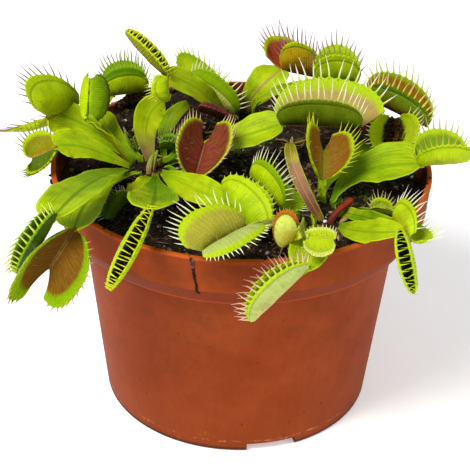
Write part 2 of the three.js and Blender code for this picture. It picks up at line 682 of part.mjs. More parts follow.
/**
 * The point of a tooth: out from the margin, spread like a fan, longest in the middle.
 * In a trap that is nearly shut, a hook leans it over the mouth towards the other lobe.
 */
function toothTip(leaf, shape, u) {
  const foot = shape.point(u, 1);
  const outward = foot.clone().sub(shape.point(u, 0.75)).normalize();
  const along = shape.halfRib.clone().normalize();
  const direction = outward.addScaledVector(along, 0.5 * (2 * u - 1)).normalize();
  direction.addScaledVector(shape.outward, -(leaf.hook ?? 0)).normalize();
  return foot.addScaledVector(direction, leaf.tooth * (0.6 + 0.4 * Math.sin(Math.PI * u)));
}

/** The largest body of a solid: joining thin sheets can leave a loose scrap. */
function largestBody(solid) {
  return solid.decompose().reduce((best, body) => (body.volume() > best.volume() ? body : best));
}

/** One whole leaf, blade and trap grown together. */
function makeLeaf(leaf) {
  const blade = bladeSolid(leaf);
  const solid = leaf.tip ? largestBody(blade.add(trapSolid(leaf))) : blade;
  return meshFrom("leaf_" + leaf.name, solid, leaf.color, 0.45);
}

// ---- Stems ----

/** A round stem that stands straight in the soil and leans towards its tip above it. */
function stemSolid({ foot: [x, y], tip, radii }) {
  const foot = new THREE.Vector3(x, y, soilTop + 0.5);
  const end = vector(tip);
  const bend = foot.clone().setZ(foot.z + (end.z - foot.z) / 2);
  const curve = new THREE.QuadraticBezierCurve3(foot, bend, end);
  const steps = radii.length - 1;
  const rings = [stemRing(foot.clone().setZ(soilTop - rootDepth), curve.getTangent(0), radii[0])];
  radii.forEach((radius, i) => {
    rings.push(stemRing(curve.getPoint(i / steps), curve.getTangent(i / steps), radius));
  });
  return loft(rings);
}

/** A ring of points round a stem. */
function stemRing(centre, along, radius) {
  const across = new THREE.Vector3(0, 1, 0).cross(along).normalize();
  const up = across.clone().cross(along);
  return Array.from({ length: stemSides }, (_, i) => {
    const turn = (-i / stemSides) * 2 * Math.PI;
    return centre
      .clone()
      .addScaledVector(across, radius * Math.cos(turn))
      .addScaledVector(up, radius * Math.sin(turn));
  });
}

/** One stem, or a few grown together at the foot. */
function makeStem({ name, color, parts }) {
  const solids = parts.map(stemSolid);
  return meshFrom(name, solids.reduce((all, solid) => all.add(solid)), color, 0.6);
}

// ---- The whole plant ----

const holes = leaves.map((leaf) => {
  const { x, y } = rootOf(leaf);
  return rootHole(x, y, leaf.stalk ?? stalkHalfWidth);
});
for (const { foot: [x, y], radii } of stems.flatMap((stem) => stem.parts)) {
  holes.push(rootHole(x, y, radii[0]));
}

const group = new THREE.Group();
group.name = "potted_venus_flytrap";
group.add(makePot());
group.add(makeSoil(holes));
for (const leaf of leaves) group.add(makeLeaf(leaf));
for (const stem of stems) group.add(makeStem(stem));

export default group;
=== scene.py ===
"""Looks of a clump of venus flytraps in a plastic grower's pot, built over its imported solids.

Every leaf is worked out from a handful of points in millimetres: its foot at the rosette, the middle
and edge of its widest part, the neck, the far end of the trap's midrib and the middle of each lobe's
margin. The origin is the middle of the pot's underside, with -Y to the front and +Z up.
"""

import math

import bmesh
import bpy
import numpy as np
from mathutils import Matrix


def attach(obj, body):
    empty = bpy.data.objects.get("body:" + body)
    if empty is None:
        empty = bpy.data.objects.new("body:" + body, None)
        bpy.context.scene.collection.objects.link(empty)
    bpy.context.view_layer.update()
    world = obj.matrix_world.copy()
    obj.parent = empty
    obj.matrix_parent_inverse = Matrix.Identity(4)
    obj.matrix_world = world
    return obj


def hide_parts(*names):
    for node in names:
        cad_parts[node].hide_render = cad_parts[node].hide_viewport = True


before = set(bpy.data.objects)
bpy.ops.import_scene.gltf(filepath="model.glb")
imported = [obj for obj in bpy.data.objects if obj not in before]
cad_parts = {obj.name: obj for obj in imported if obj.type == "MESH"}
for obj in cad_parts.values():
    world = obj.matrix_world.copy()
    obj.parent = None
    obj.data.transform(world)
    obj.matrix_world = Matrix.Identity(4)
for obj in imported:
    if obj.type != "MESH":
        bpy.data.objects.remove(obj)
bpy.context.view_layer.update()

MM = 0.001

# ---- The plant, in millimetres ----

SOIL_TOP = 74.5
WALL = 58.2  # inside radius of the pot at the lip
SOIL_DIP = 1.2  # how far the soil sinks beside the wall
SOIL_EDGE = 57.05  # radius of the soil's top
LUMPS = 0.7  # height of the soil's low waves
ROOT_DEPTH = 5
STALK = 0.9  # half-width of a stalk at the soil
NECK = 0.8  # half-width of a blade at the neck
FOLD = 0.22  # rise of a blade's edge over its midrib, per unit of half-width
RIPPLE = 0.5  # how far a blade's edges ripple up and down
BLADE_THICK = 0.55
STALK_THICK = 0.45  # added where the blade is still a bare stalk
RIDGE_HEIGHT, RIDGE_WIDTH = 0.34, 0.8  # the ridge under a blade's midrib
BLADE_ROWS, BLADE_COLUMNS = 44, 19  # sections along a blade, and points across one
HINGE_OVERLAP = 1.2  # how far a blade runs on inside the trap's hinge
EAR = 1.2  # how far a blade's shoulders reach past its neck, where its row doesn't say
LOBE_START = 0.14  # angle round a lobe's outline at which its margin begins
LOBE_HALF_THICK = 0.3
LOBE_ROWS = 61  # sections from one end of a lobe to the other
BAND_AT = 0.84  # how far out a lobe's outer band starts and its inner field ends
SCALLOP = 0.022  # depth of the margin's scallops, as a share of the lobe's height
HAIR_LENGTH = 1.9

# The middles of the three rosettes.
CROWNS = dict(left=(-29.5, 5), middle=(-1.5, 40), right=(24, -19.5))

# Colours as red, green and blue in hexadecimal.
PALETTE = dict(
    lime="a4bc08", bright="aec40e", green="82a408", leaf="6b930a", deep="4c680a", dark="384e0a",
    olive="85840c", moss="5c6c0a", yellow="c8c81c", gold="b19412", orange="ad6412", brown="784812",
    rust="8a331a", red="9e2f24", maroon="5a2420", wine="783a34", blush="a8735e", tan="ae9350",
    straw="c6b68a", pale="c4ce5a", cream="e4e4be", white="eae4d0", rose="dcb2a2", purple="8f5570",
    bark="2e1d14", frost="a8b660", shade="3a420e", citron="98a008", bronze="96680e", honey="a29c34",
    garnet="7c2826", umber="83500f",
)

# How each leaf is coloured: the blade at its root, middle and end, and its rib; the outside and the
# inside of the trap's lobes, with the flush and the heart beside the midrib on each; the band along
# the margin; and the teeth from root to tip. Two names for a lobe's colour are for the two lobes.
# band_at and field say how far out, from 0 at the midrib to 1 at the margin, the outer band starts
# and the inner field ends. reach shortens the two fringes. A spent trap is full of dried shreds.
LOOKS = {
    "left_01": dict(blade="green lime bright", rib="leaf", outside="lime", flush="citron", band="lime",
                    inside="wine", heart="brown", field=0.8, teeth="olive purple"),
    "left_02": dict(blade="green lime lime", rib="leaf", outside="olive deep", flush="orange",
                    band="lime", inside="olive deep", heart="bronze deep", field=0.86,
                    teeth="moss olive"),
    "left_03": dict(blade="leaf green lime", rib="deep", outside="dark", flush="dark", band="leaf",
                    band_at=0.93, inside="deep", heart="dark", teeth="lime pale"),
    "left_04": dict(blade="green lime bright", rib="deep", outside="lime", flush="green", band="green",
                    inside="brown", heart="brown", field=0.72, teeth="lime tan"),
    "left_05": dict(blade="gold olive green", rib="deep", outside="lime green", flush="lime green",
                    band="deep", band_at=0.9, inside="deep", heart="deep", teeth="moss olive"),
    "left_06": dict(blade="green lime lime", rib="green", outside="lime", flush="olive", band="leaf",
                    band_at=0.76, inside="green", heart="green", teeth="lime moss"),
    "left_07": dict(blade="blush lime bright", rib="green", outside="lime", flush="green",
                    band="bright", inside="green", heart="green", teeth="lime pale", reach=(0.6, 0.6)),
    "middle_01": dict(blade="wine lime lime", rib="green", outside="olive", flush="brown", band="lime",
                      band_at=0.9, inside="shade", heart="shade", teeth="yellow yellow"),
    "middle_02": dict(blade="maroon wine citron", rib="maroon", outside="pale", flush="lime",
                      band="green", band_at=0.66, inside="bright", heart="lime", field=0.9,
                      teeth="pale white"),
    "middle_03": dict(blade="maroon maroon wine", rib="maroon", outside="maroon", flush="maroon",
                      band="wine", inside="wine", heart="wine", teeth="wine wine", reach=(0.3, 0.3)),
    "middle_04": dict(blade="wine lime bright", rib="blush", outside="gold", flush="orange",
                      band="lime", band_at=0.88, inside="red", heart="red", field=0.93,
                      teeth="blush purple"),
    "middle_05": dict(blade="green lime lime", rib="green", outside="lime", flush="leaf", band="lime",
                      inside="green", heart="green", teeth="green purple"),
    "left_08": dict(blade="green lime lime", rib="leaf", outside="moss", flush="shade",
                    band="moss lime", band_at=0.9, inside="tan", heart="blush", field=0.8,
                    teeth="bright white"),
    "middle_06": dict(blade="wine wine green", rib="maroon", outside="moss", flush="brown",
                      band="deep green", band_at=0.86, inside="bronze", heart="brown", field=0.94,
                      teeth="yellow straw"),
    "right_01": dict(blade="green lime lime", rib="green", outside="lime", flush="green", band="lime",
                     inside="umber", heart="olive", field=0.94, teeth="lime yellow"),
    "right_02": dict(blade="leaf green lime", rib="leaf", outside="lime", flush="olive", band="lime",
                     band_at=0.94, inside="leaf", heart="olive", field=0.9, teeth="lime tan"),
    "right_03": dict(blade="leaf leaf green", rib="deep", outside="green", flush="lime", band="lime",
                     inside="bark", heart="bark", field=0.38, teeth="yellow cream", spent=True),
    "left_09": dict(blade="green leaf leaf", rib="green", outside="lime", flush="green", band="bright",
                    inside="garnet", heart="garnet", field=0.97, teeth="yellow rose"),
    "left_10": dict(blade="green lime bright", rib="green", outside="lime", flush="green", band="lime",
                    inside="frost", heart="lime", teeth="lime pale"),
    "right_04": dict(blade="green pale pale", rib="green", outside="lime", flush="olive", band="lime",
                     inside="honey frost", heart="brown", field=0.88, teeth="lime cream",
                     reach=(0.8, 0.4)),
    "right_05": dict(blade="green leaf green", rib="deep", outside="lime", flush="green", band="green",
                     inside="lime", heart="green", teeth="lime cream"),
    "right_06": dict(blade="wine blush olive", rib="tan"),
    "right_07": dict(blade="lime pale yellow", rib="gold", outside="pale", flush="gold", band="orange",
                     band_at=0.88, inside="pale", heart="gold", teeth="orange tan"),
    "right_08": dict(blade="green lime pale", rib="green", outside="lime", flush="yellow", band="pale",
                     inside="bright", heart="lime", teeth="pale straw", reach=(0.55, 0.55)),
    "right_09": dict(blade="green lime bright", rib="green", outside="frost", flush="tan",
                     band="bright", band_at=0.91, inside="green", heart="green", teeth="bright rose"),
    "right_10": dict(blade="green lime bright", rib="leaf", outside="lime", flush="green",
                     band="bright", band_at=0.9, inside="shade", heart="bark", teeth="bright lime"),
    "right_11": dict(blade="deep leaf green", rib="deep", outside="lime", flush="olive", band="lime",
                     inside="lime", heart="olive", teeth="pale white"),
    "right_12": dict(blade="deep deep leaf", rib="deep", outside="lime", flush="olive", band="lime",
                     inside="lime", heart="lime", teeth="lime straw"),
    "left_11": dict(blade="deep leaf green", rib="deep", outside="leaf", flush="gold", band="green",
                    inside="deep", heart="deep", teeth="leaf straw"),
    # left_12's trap lies low in shadow, and its deep and dark greens are painted shade
    "left_12": dict(blade="deep leaf leaf", rib="deep", outside="deep", flush="deep", band="leaf",
                    inside="dark", heart="dark", teeth="leaf straw"),
    "left_13": dict(blade="leaf green lime", rib="green"),
    "left_14": dict(blade="deep leaf lime", rib="deep", outside="lime", flush="green", band="bright",
                    band_at=0.88, inside="shade", heart="bark", teeth="bright yellow"),
    # left_15's trap lies low in shadow near the soil, and its deep and dark greens are painted shade
    "left_15": dict(blade="green lime yellow", rib="gold", outside="deep", flush="dark", band="deep",
                    inside="dark", heart="dark", teeth="lime cream"),
}

# Each leaf's shape. root is the turn about the crown's middle, in degrees, and the distance from it at
# which the stalk leaves the soil. widest is the middle of the blade where it is widest, side runs from
# there to its edge, and at is how far along the blade that is. taper shapes the outline below the
# widest part and end closes it above; ear is how far the shoulders reach past the neck. neck and tip
# are the two ends of the trap's midrib, and lobes are the middles of the two margins. bulge is how far
# a lobe swells outward, flare how far its margin reaches past the midrib at the neck and at the tip,
# and round how pointed its ends are. teeth and tooth are a fringe's count and length, and hook turns
# it in over the mouth.
LEAVES = [
    dict(
        name="left_01", root=(150, 6.2), slot="leaf_olive",
        widest=(-59.5, 13.5, 88.5), side=(1.5, 2.5, 4.5), at=0.82, taper=1.3,
        neck=(-62, 10, 89.5), tip=(-54.5, 20, 88), lobes=((-66, 8, 105), (-76, 16, 82)),
        bulge=2.5, flare=((0.2, 0.42), (0.05, 0.4)), teeth=14, tooth=6,
    ),
    dict(
        name="left_02", root=(192, 6.2), slot="leaf_olive",
        widest=(-54.5, -3.5, 87), side=(-0.5, -4.5, -2), at=0.76, taper=1.2,
        neck=(-57.5, -6, 87.5), tip=(-64.5, -10, 85.5), lobes=((-65, -2, 90.5), (-62.5, -18, 85)),
        bulge=2, flare=((0.1, 0.2), (0.05, 0.1)), teeth=13, tooth=5,
    ),
    dict(
        name="left_03", root=(205, 7.6), slot="leaf_dark",
        widest=(-48, -62, 99), side=(5, -5, 1), at=0.84, taper=1.1,
        neck=(-50, -69, 99), tip=(-60.5, -66, 79.5), lobes=((-56.5, -73.5, 94.5), (-59.5, -67.5, 91.5)),
        bulge=2, flare=((0.1, 0.05), (0.1, 0.05)), teeth=16, tooth=3.8, hook=0.7, round=0.75,
    ),
    dict(
        name="left_04", root=(237, 5.4), slot="leaf_olive",
        widest=(-46, -48, 87.5), side=(6, -2, 0.5), at=0.86, taper=1.7,
        neck=(-45.5, -61, 91), tip=(-51, -74, 86), lobes=((-56, -84, 93), (-41.5, -83, 87)),
        bulge=2.5, flare=((0.05, 0.6), (0.1, 0.45)), teeth=16, tooth=3.4,
    ),
    dict(
        name="left_05", root=(166, 6.6), slot="leaf_yellow",
        widest=(-46.5, 4, 91), side=(1, -1, -0.5), at=0.8, taper=0.6,
        neck=(-49, 6, 91.5), tip=(-48.5, 11, 103), lobes=((-51, 15, 94.5), (-43.5, 17, 93.5)),
        bulge=1.8, flare=((0.05, 0.1), (0.05, 0.1)), teeth=13, tooth=2.6,
    ),
    dict(
        name="left_06", root=(126, 5.6), slot="leaf_green",
        widest=(-45, 21, 81.5), side=(4, 0, 1), at=0.52, taper=1, end=0.74,
        neck=(-44, 33, 87), tip=(-32.5, 35, 88), lobes=((-39.5, 30, 99), (-41.5, 45, 94.5)),
        bulge=2, flare=((0.2, 0.1), (0.2, 0.1)), teeth=18, tooth=5.5,
    ),
    dict(
        name="left_07", root=(88, 4.5), slot="leaf_yellow",
        widest=(-29, 9, 93.5), side=(4, -1, -0.5), at=0.66, taper=1.3, end=0.9, stalk=1.9,
        neck=(-23.5, 8, 98.5), tip=(-24, 11, 103.5), lobes=((-29, 4, 103), (-29, 14, 100.5)),
        bulge=1.8, flare=((0.1, 0.1), (0.1, 0.1)), teeth=13, tooth=4.5,
    ),
    dict(
        name="middle_01", root=(200, 4.2), slot="leaf_olive",
        widest=(-20, 20, 99), side=(1.5, 3, 2), at=0.82, taper=1.3,
        neck=(-25, 19, 101.5), tip=(-37.5, 23, 113.5), lobes=((-29, 14, 111.5), (-28.5, 18, 111)),
        bulge=1.7, flare=((0.05, 0.05), (0.05, 0.05)), teeth=14, tooth=4, hook=0.8, round=0.9,
    ),
    dict(
        name="middle_02", root=(155, 4.8), slot="leaf_green",
        widest=(-2, 38, 77.5), side=(0.5, 0, 0), at=0.6, taper=1,
        neck=(-4.5, 39, 78.5), tip=(-19.5, 43, 88.5), lobes=((-7.5, 36, 93.5), (-13.5, 47, 93.5)),
        bulge=2.5, flare=((0.1, 0), (0.1, 0.2)), teeth=16, tooth=5.5,
    ),
    dict(
        name="middle_03", root=(232, 5.6), slot="leaf_red",
        widest=(-2, 31, 79), side=(0, 0, 0), at=0.6, taper=1,
        neck=(-4, 24, 82.5), tip=(-13.5, 19, 89), lobes=((-9.5, 13, 93.5), (-8.5, 23, 89)),
        bulge=1, flare=((0.05, 0.05), (0.05, 0.05)), teeth=10, tooth=3,
    ),
    dict(
        name="middle_04", root=(75, 4.2), slot="leaf_yellow",
        widest=(8, 36.5, 92.5), side=(5, -2.5, -1), at=0.74, taper=1.6,
        neck=(12.5, 42, 94), tip=(25, 46, 89.5), lobes=((18, 41, 104.5), (13.5, 50, 102.5)),
        bulge=2, flare=((0.05, 0.1), (0.3, 0.1)), teeth=16, tooth=6,
    ),
    dict(
        name="middle_05", root=(12, 5.0), slot="leaf_green",
        widest=(6, 28, 90), side=(0, -1, -1), at=0.45, taper=0.8,
        neck=(25, 33, 94), tip=(37, 35, 93), lobes=((30, 29, 106), (30.5, 41, 104)),
        bulge=2, flare=((0.15, 0.15), (0.15, 0.15)), teeth=14, tooth=5,
    ),
    dict(
        name="left_08", root=(15, 6.4), slot="leaf_olive",
        widest=(7, 5, 90), side=(1, -6, -2), at=0.8, taper=1.5,
        neck=(12.5, 5, 92), tip=(37, 1, 94), lobes=((23, -3, 105), (25.5, 15, 104)),
        bulge=2.6, flare=((0.05, 0.02), (0.12, 0.28)), teeth=19, tooth=7,
    ),
    dict(
        name="middle_06", root=(-25, 5.4), slot="leaf_olive",
        widest=(19.5, 36, 81), side=(0.5, -1, -1), at=0.45, taper=0.6,
        neck=(41.5, 29, 90.5), tip=(59.5, 17, 86.5), lobes=((50.5, 20, 98), (52.5, 27, 99)),
        bulge=2.2, flare=((0.02, 0.05), (0.1, 0.05)), teeth=16, tooth=6,
    ),
    dict(
        name="right_01", root=(100, 4.6), slot="leaf_olive",
        widest=(25, -16, 80), side=(1, 0, 0), at=0.6, taper=0.8,
        neck=(25, -15, 83.5), tip=(25, -8, 89.5), lobes=((20, -15, 97.5), (34, -12, 93.5)),
        bulge=1.6, flare=((0.1, 0.5), (0.1, 0.4)), teeth=14, tooth=5,
    ),
    dict(
        name="right_02", root=(42, 5.6), slot="leaf_green",
        widest=(47, -9, 86), side=(2, -8, -1), at=0.8, taper=1.7,
        neck=(54.5, -13, 88.5), tip=(67, -13, 90), lobes=((60.5, -19, 99), (59, -3, 96)),
        bulge=2.5, flare=((0.12, 0.25), (0.1, 0.2)), teeth=14, tooth=5,
    ),
    dict(
        name="right_03", root=(72, 5.0), slot="leaf_dark",
        widest=(38.5, 9, 79), side=(4, 0, -1), at=0.78, taper=1.5,
        neck=(48, 10, 81.5), tip=(49, 18, 88.5), lobes=((40.5, 8, 89), (55.5, 7, 91)),
        bulge=1.5, flare=((0.1, 0.1), (0.1, 0.1)), teeth=13, tooth=4.5,
    ),
    dict(
        name="left_09", root=(-10, 6.6), slot="leaf_red",
        widest=(-21.5, -1.5, 77), side=(0.5, -1.5, 0), at=0.5, taper=0.6,
        neck=(-14.5, -6, 78), tip=(-12, 3, 85), lobes=((-19.5, -7, 92), (-4, -7, 90.5)),
        bulge=1.8, flare=((0.1, 0.5), (0.1, 0.5)), teeth=18, tooth=3.6,
    ),
    dict(
        name="left_10", root=(-46, 6.0), slot="leaf_green",
        widest=(-12, -22, 82), side=(-1.5, -4, -2), at=0.74, taper=1.8,
        neck=(-4, -31, 83.5), tip=(5, -42, 78.5), lobes=((7, -36, 90), (8, -25, 84.5)),
        bulge=2.3, flare=((0.4, 0.1), (0.2, 0.02)), teeth=14, tooth=1.4,
    ),
    dict(
        name="right_04", root=(222.9, 7.8), slot="leaf_yellow",
        widest=(6.5, -51, 88), side=(0, -1, -0.5), at=0.6, taper=0.6,
        neck=(0.5, -55, 88), tip=(-9.5, -64, 86.5), lobes=((-12.5, -60, 97), (0, -68, 91)),
        bulge=-2, flare=((0.32, 0.25), (0.45, 0.15)), teeth=18, tooth=7,
    ),
    dict(
        name="right_05", root=(163, 5.0), slot="leaf_green",
        widest=(16, -23.5, 76), side=(0, -0.5, -0.5), at=0.6, taper=0.6,
        neck=(12, -22, 77), tip=(3.5, -12, 81.5), lobes=((10, -20, 90), (17.5, -15, 79)),
        bulge=2.2, flare=((0.1, 0.1), (0.1, 0.1)), teeth=16, tooth=5,
    ),
    dict(
        name="right_06", root=(274, 7.0), slot="leaf_tan",
        widest=(16, -20, 90), side=(2, 0, 0), at=0.62, taper=0.6,
        neck=(14.5, -12, 94),
    ),
    dict(
        name="right_07", root=(240, 8.7), slot="leaf_yellow",
        widest=(17.5, -54, 88.5), side=(0.5, -1, -1), at=0.5, taper=0.6,
        neck=(16, -55, 87), tip=(12.5, -54, 82.5), lobes=((11, -53, 93.5), (12, -48, 90.5)),
        bulge=1.2, flare=((0.3, 0.3), (0.3, 0.3)), teeth=10, tooth=1,
    ),
    dict(
        name="right_08", root=(251, 5.2), slot="leaf_yellow",
        widest=(21.5, -48.5, 85), side=(0.5, -0.5, -0.5), at=0.5, taper=0.6,
        neck=(19, -58, 88.5), tip=(25.5, -65, 92.5), lobes=((23, -56, 91), (21.5, -71, 91)),
        bulge=1.4, flare=((0.15, 0.1), (0.15, 0.1)), teeth=11, tooth=2.4,
    ),
    dict(
        name="right_09", root=(272, 10.3), slot="leaf_yellow",
        widest=(19.5, -57, 82.5), side=(5.5, 0, -0.5), at=0.78, taper=1.6,
        neck=(18.5, -67, 83.5), tip=(5, -70, 68.5), lobes=((6.5, -76, 84), (6, -68, 80.5)),
        bulge=2, flare=((0.1, 0.05), (0.1, 0.05)), teeth=18, tooth=5, round=1.05,
    ),
    dict(
        name="right_10", root=(300, 11.6), slot="leaf_green",
        widest=(38.5, -50, 86), side=(-1, -4, -1), at=0.7, taper=1.4,
        neck=(45, -57, 90.5), tip=(49.5, -61, 74), lobes=((44, -69.5, 88.5), (47, -67.5, 87.5)),
        bulge=1.6, flare=((0.05, 0.05), (0.05, 0.05)), teeth=14, tooth=2.9, hook=0.7, round=0.95,
    ),
    dict(
        name="right_11", root=(342, 6.4), slot="leaf_yellow",
        widest=(37, -31, 80), side=(0.5, -2, 0), at=0.6, taper=0.6,
        neck=(45, -43, 85), tip=(48.5, -52, 85.5), lobes=((49, -43, 92), (54.5, -46, 85)),
        bulge=2.2, flare=((0.25, 0.2), (0.25, 0.2)), teeth=13, tooth=5,
    ),
    dict(
        name="right_12", root=(20, 5.4), slot="leaf_dark",
        widest=(35, -21, 76), side=(1, -1, 0), at=0.6, taper=0.6,
        neck=(45.5, -25, 77.5), tip=(40, -25, 78), lobes=((42.5, -24, 82.5), (41.5, -31, 84)),
        bulge=1, flare=((0.15, 0.15), (0.15, 0.15)), teeth=11, tooth=3,
    ),
    dict(
        name="left_11", root=(96, 8.7), slot="leaf_dark",
        widest=(-34, 11, 79), side=(0, 0, 0), at=0.6, taper=0.6,
        neck=(-34, 11, 78), tip=(-35.5, 14, 80.5), lobes=((-37, 11, 83), (-32.5, 15, 81)),
        bulge=1, flare=((0.1, 0.1), (0.1, 0.1)), teeth=10, tooth=3,
    ),
    dict(
        name="left_12", root=(42, 5.0), slot="leaf_dark",
        widest=(-22, 5, 79), side=(1, 0, -1), at=0.6, taper=0.6,
        neck=(-20, 6, 81.5), tip=(-25.5, 7, 81.5), lobes=((-23, 9, 85.5), (-22.5, 0, 88)),
        bulge=1, flare=((0.15, 0.15), (0.15, 0.15)), teeth=11, tooth=3,
    ),
    dict(
        name="left_13", root=(54, 7.5), slot="leaf_green",
        widest=(-24, 21, 84), side=(2, -1, -1), at=0.6, taper=2.2,
        neck=(-18, 24, 89),
    ),
    dict(
        name="left_14", root=(294, 5.4), slot="leaf_green",
        widest=(-25.5, -36, 86), side=(7.5, 0, -0.5), at=0.72, taper=2.2, ear=3,
        neck=(-25.5, -48, 90.5), tip=(-34.5, -76, 82), lobes=((-31, -70, 91.5), (-28.5, -69, 89.5)),
        bulge=1.7, flare=((0.03, 0.03), (0.03, 0.03)), teeth=14, tooth=3, hook=0.9, round=0.95,
    ),
    dict(
        name="left_15", root=(271, 7.5), slot="leaf_green",
        widest=(-32, -12.5, 77.5), side=(2, -1.5, 0), at=0.66, taper=1.2,
        neck=(-34, -19, 77.5), tip=(-38.5, -30, 76), lobes=((-40.5, -24.5, 79), (-39, -17.5, 76.5)),
        bulge=1.8, flare=((0.1, 0.1), (0.1, 0.1)), teeth=13, tooth=3.3,
    ),
]

# Plain stems: each one's foot on the soil, its tip, and its radius at four places from foot to tip.
STEMS = {
    "young_leaves": dict(colours="blush green", slot="leaf_tan", stems=[
        dict(foot=(-29.4, 2.8), tip=(-28.2, 4.6, 80.2), radii=(1, 1.1, 0.9, 0.4)),
        dict(foot=(-28.3, 3.6), tip=(-26.9, 5.6, 81), radii=(1, 1, 0.8, 0.4)),
    ]),
    "flower_stalk": dict(colours="maroon rust", slot="leaf_red", stems=[
        dict(foot=(27.6, -26.5), tip=(33.4, -22.5, 80.8), radii=(1.2, 1.1, 1.05, 1.1)),
    ]),
    "old_leaf_stump": dict(colours="blush tan", slot="leaf_tan", stems=[
        dict(foot=(30.6, -27.2), tip=(32, -28.2, 77.4), radii=(0.8, 0.8, 0.8, 0.5)),
    ]),
}

# ---- Numbers and colours ----


def hexed(code):
    """A hexadecimal colour as linear red, green and blue."""
    value = np.array([int(code[i:i + 2], 16) for i in (0, 2, 4)]) / 255
    return np.where(value < 0.04045, value / 12.92, ((value + 0.055) / 1.055) ** 2.4)


def linear(name):
    """A colour of the palette."""
    return hexed(PALETTE[name])


def unit(v):
    """Vectors scaled to length one."""
    return v / np.maximum(np.linalg.norm(v, axis=-1, keepdims=True), 1e-12)


def smooth(low, high, x):
    """0 below low, 1 above high, and a smooth S between."""
    t = np.clip((x - low) / (high - low), 0, 1)
    return t * t * (3 - 2 * t)


def blend(first, second, share):
    """The first where share is 0, the second where it is 1, and in between in proportion."""
    return first * (1 - share) + second * share


def lattice(x, y, cell, seed):
    """Value noise from -1 to 1: random numbers on a square lattice, blended smoothly between."""
    side = 64
    table = np.random.default_rng(seed).uniform(-1, 1, (side, side))
    a, b = x / cell, y / cell
    i, j = np.floor(a).astype(int), np.floor(b).astype(int)
    u, v = smooth(0, 1, a - i), smooth(0, 1, b - j)
    at = lambda p, q: table[p % side, q % side]
    low = blend(at(i, j), at(i + 1, j), u)
    high = blend(at(i, j + 1), at(i + 1, j + 1), u)
    return blend(low, high, v)


# ---- Gathering surfaces into one piece ----


def face_outward(mesh):
    """Turns the faces of a closed mesh to point outwards."""
    shell = bmesh.new()
    shell.from_mesh(mesh)
    bmesh.ops.recalc_face_normals(shell, faces=shell.faces)
    shell.to_mesh(mesh)
    shell.free()


def add_object(name, data):
    """Puts a mesh, lamp or camera into the scene as a new object."""
    thing = bpy.data.objects.new(name, data)
    bpy.context.scene.collection.objects.link(thing)
    return thing


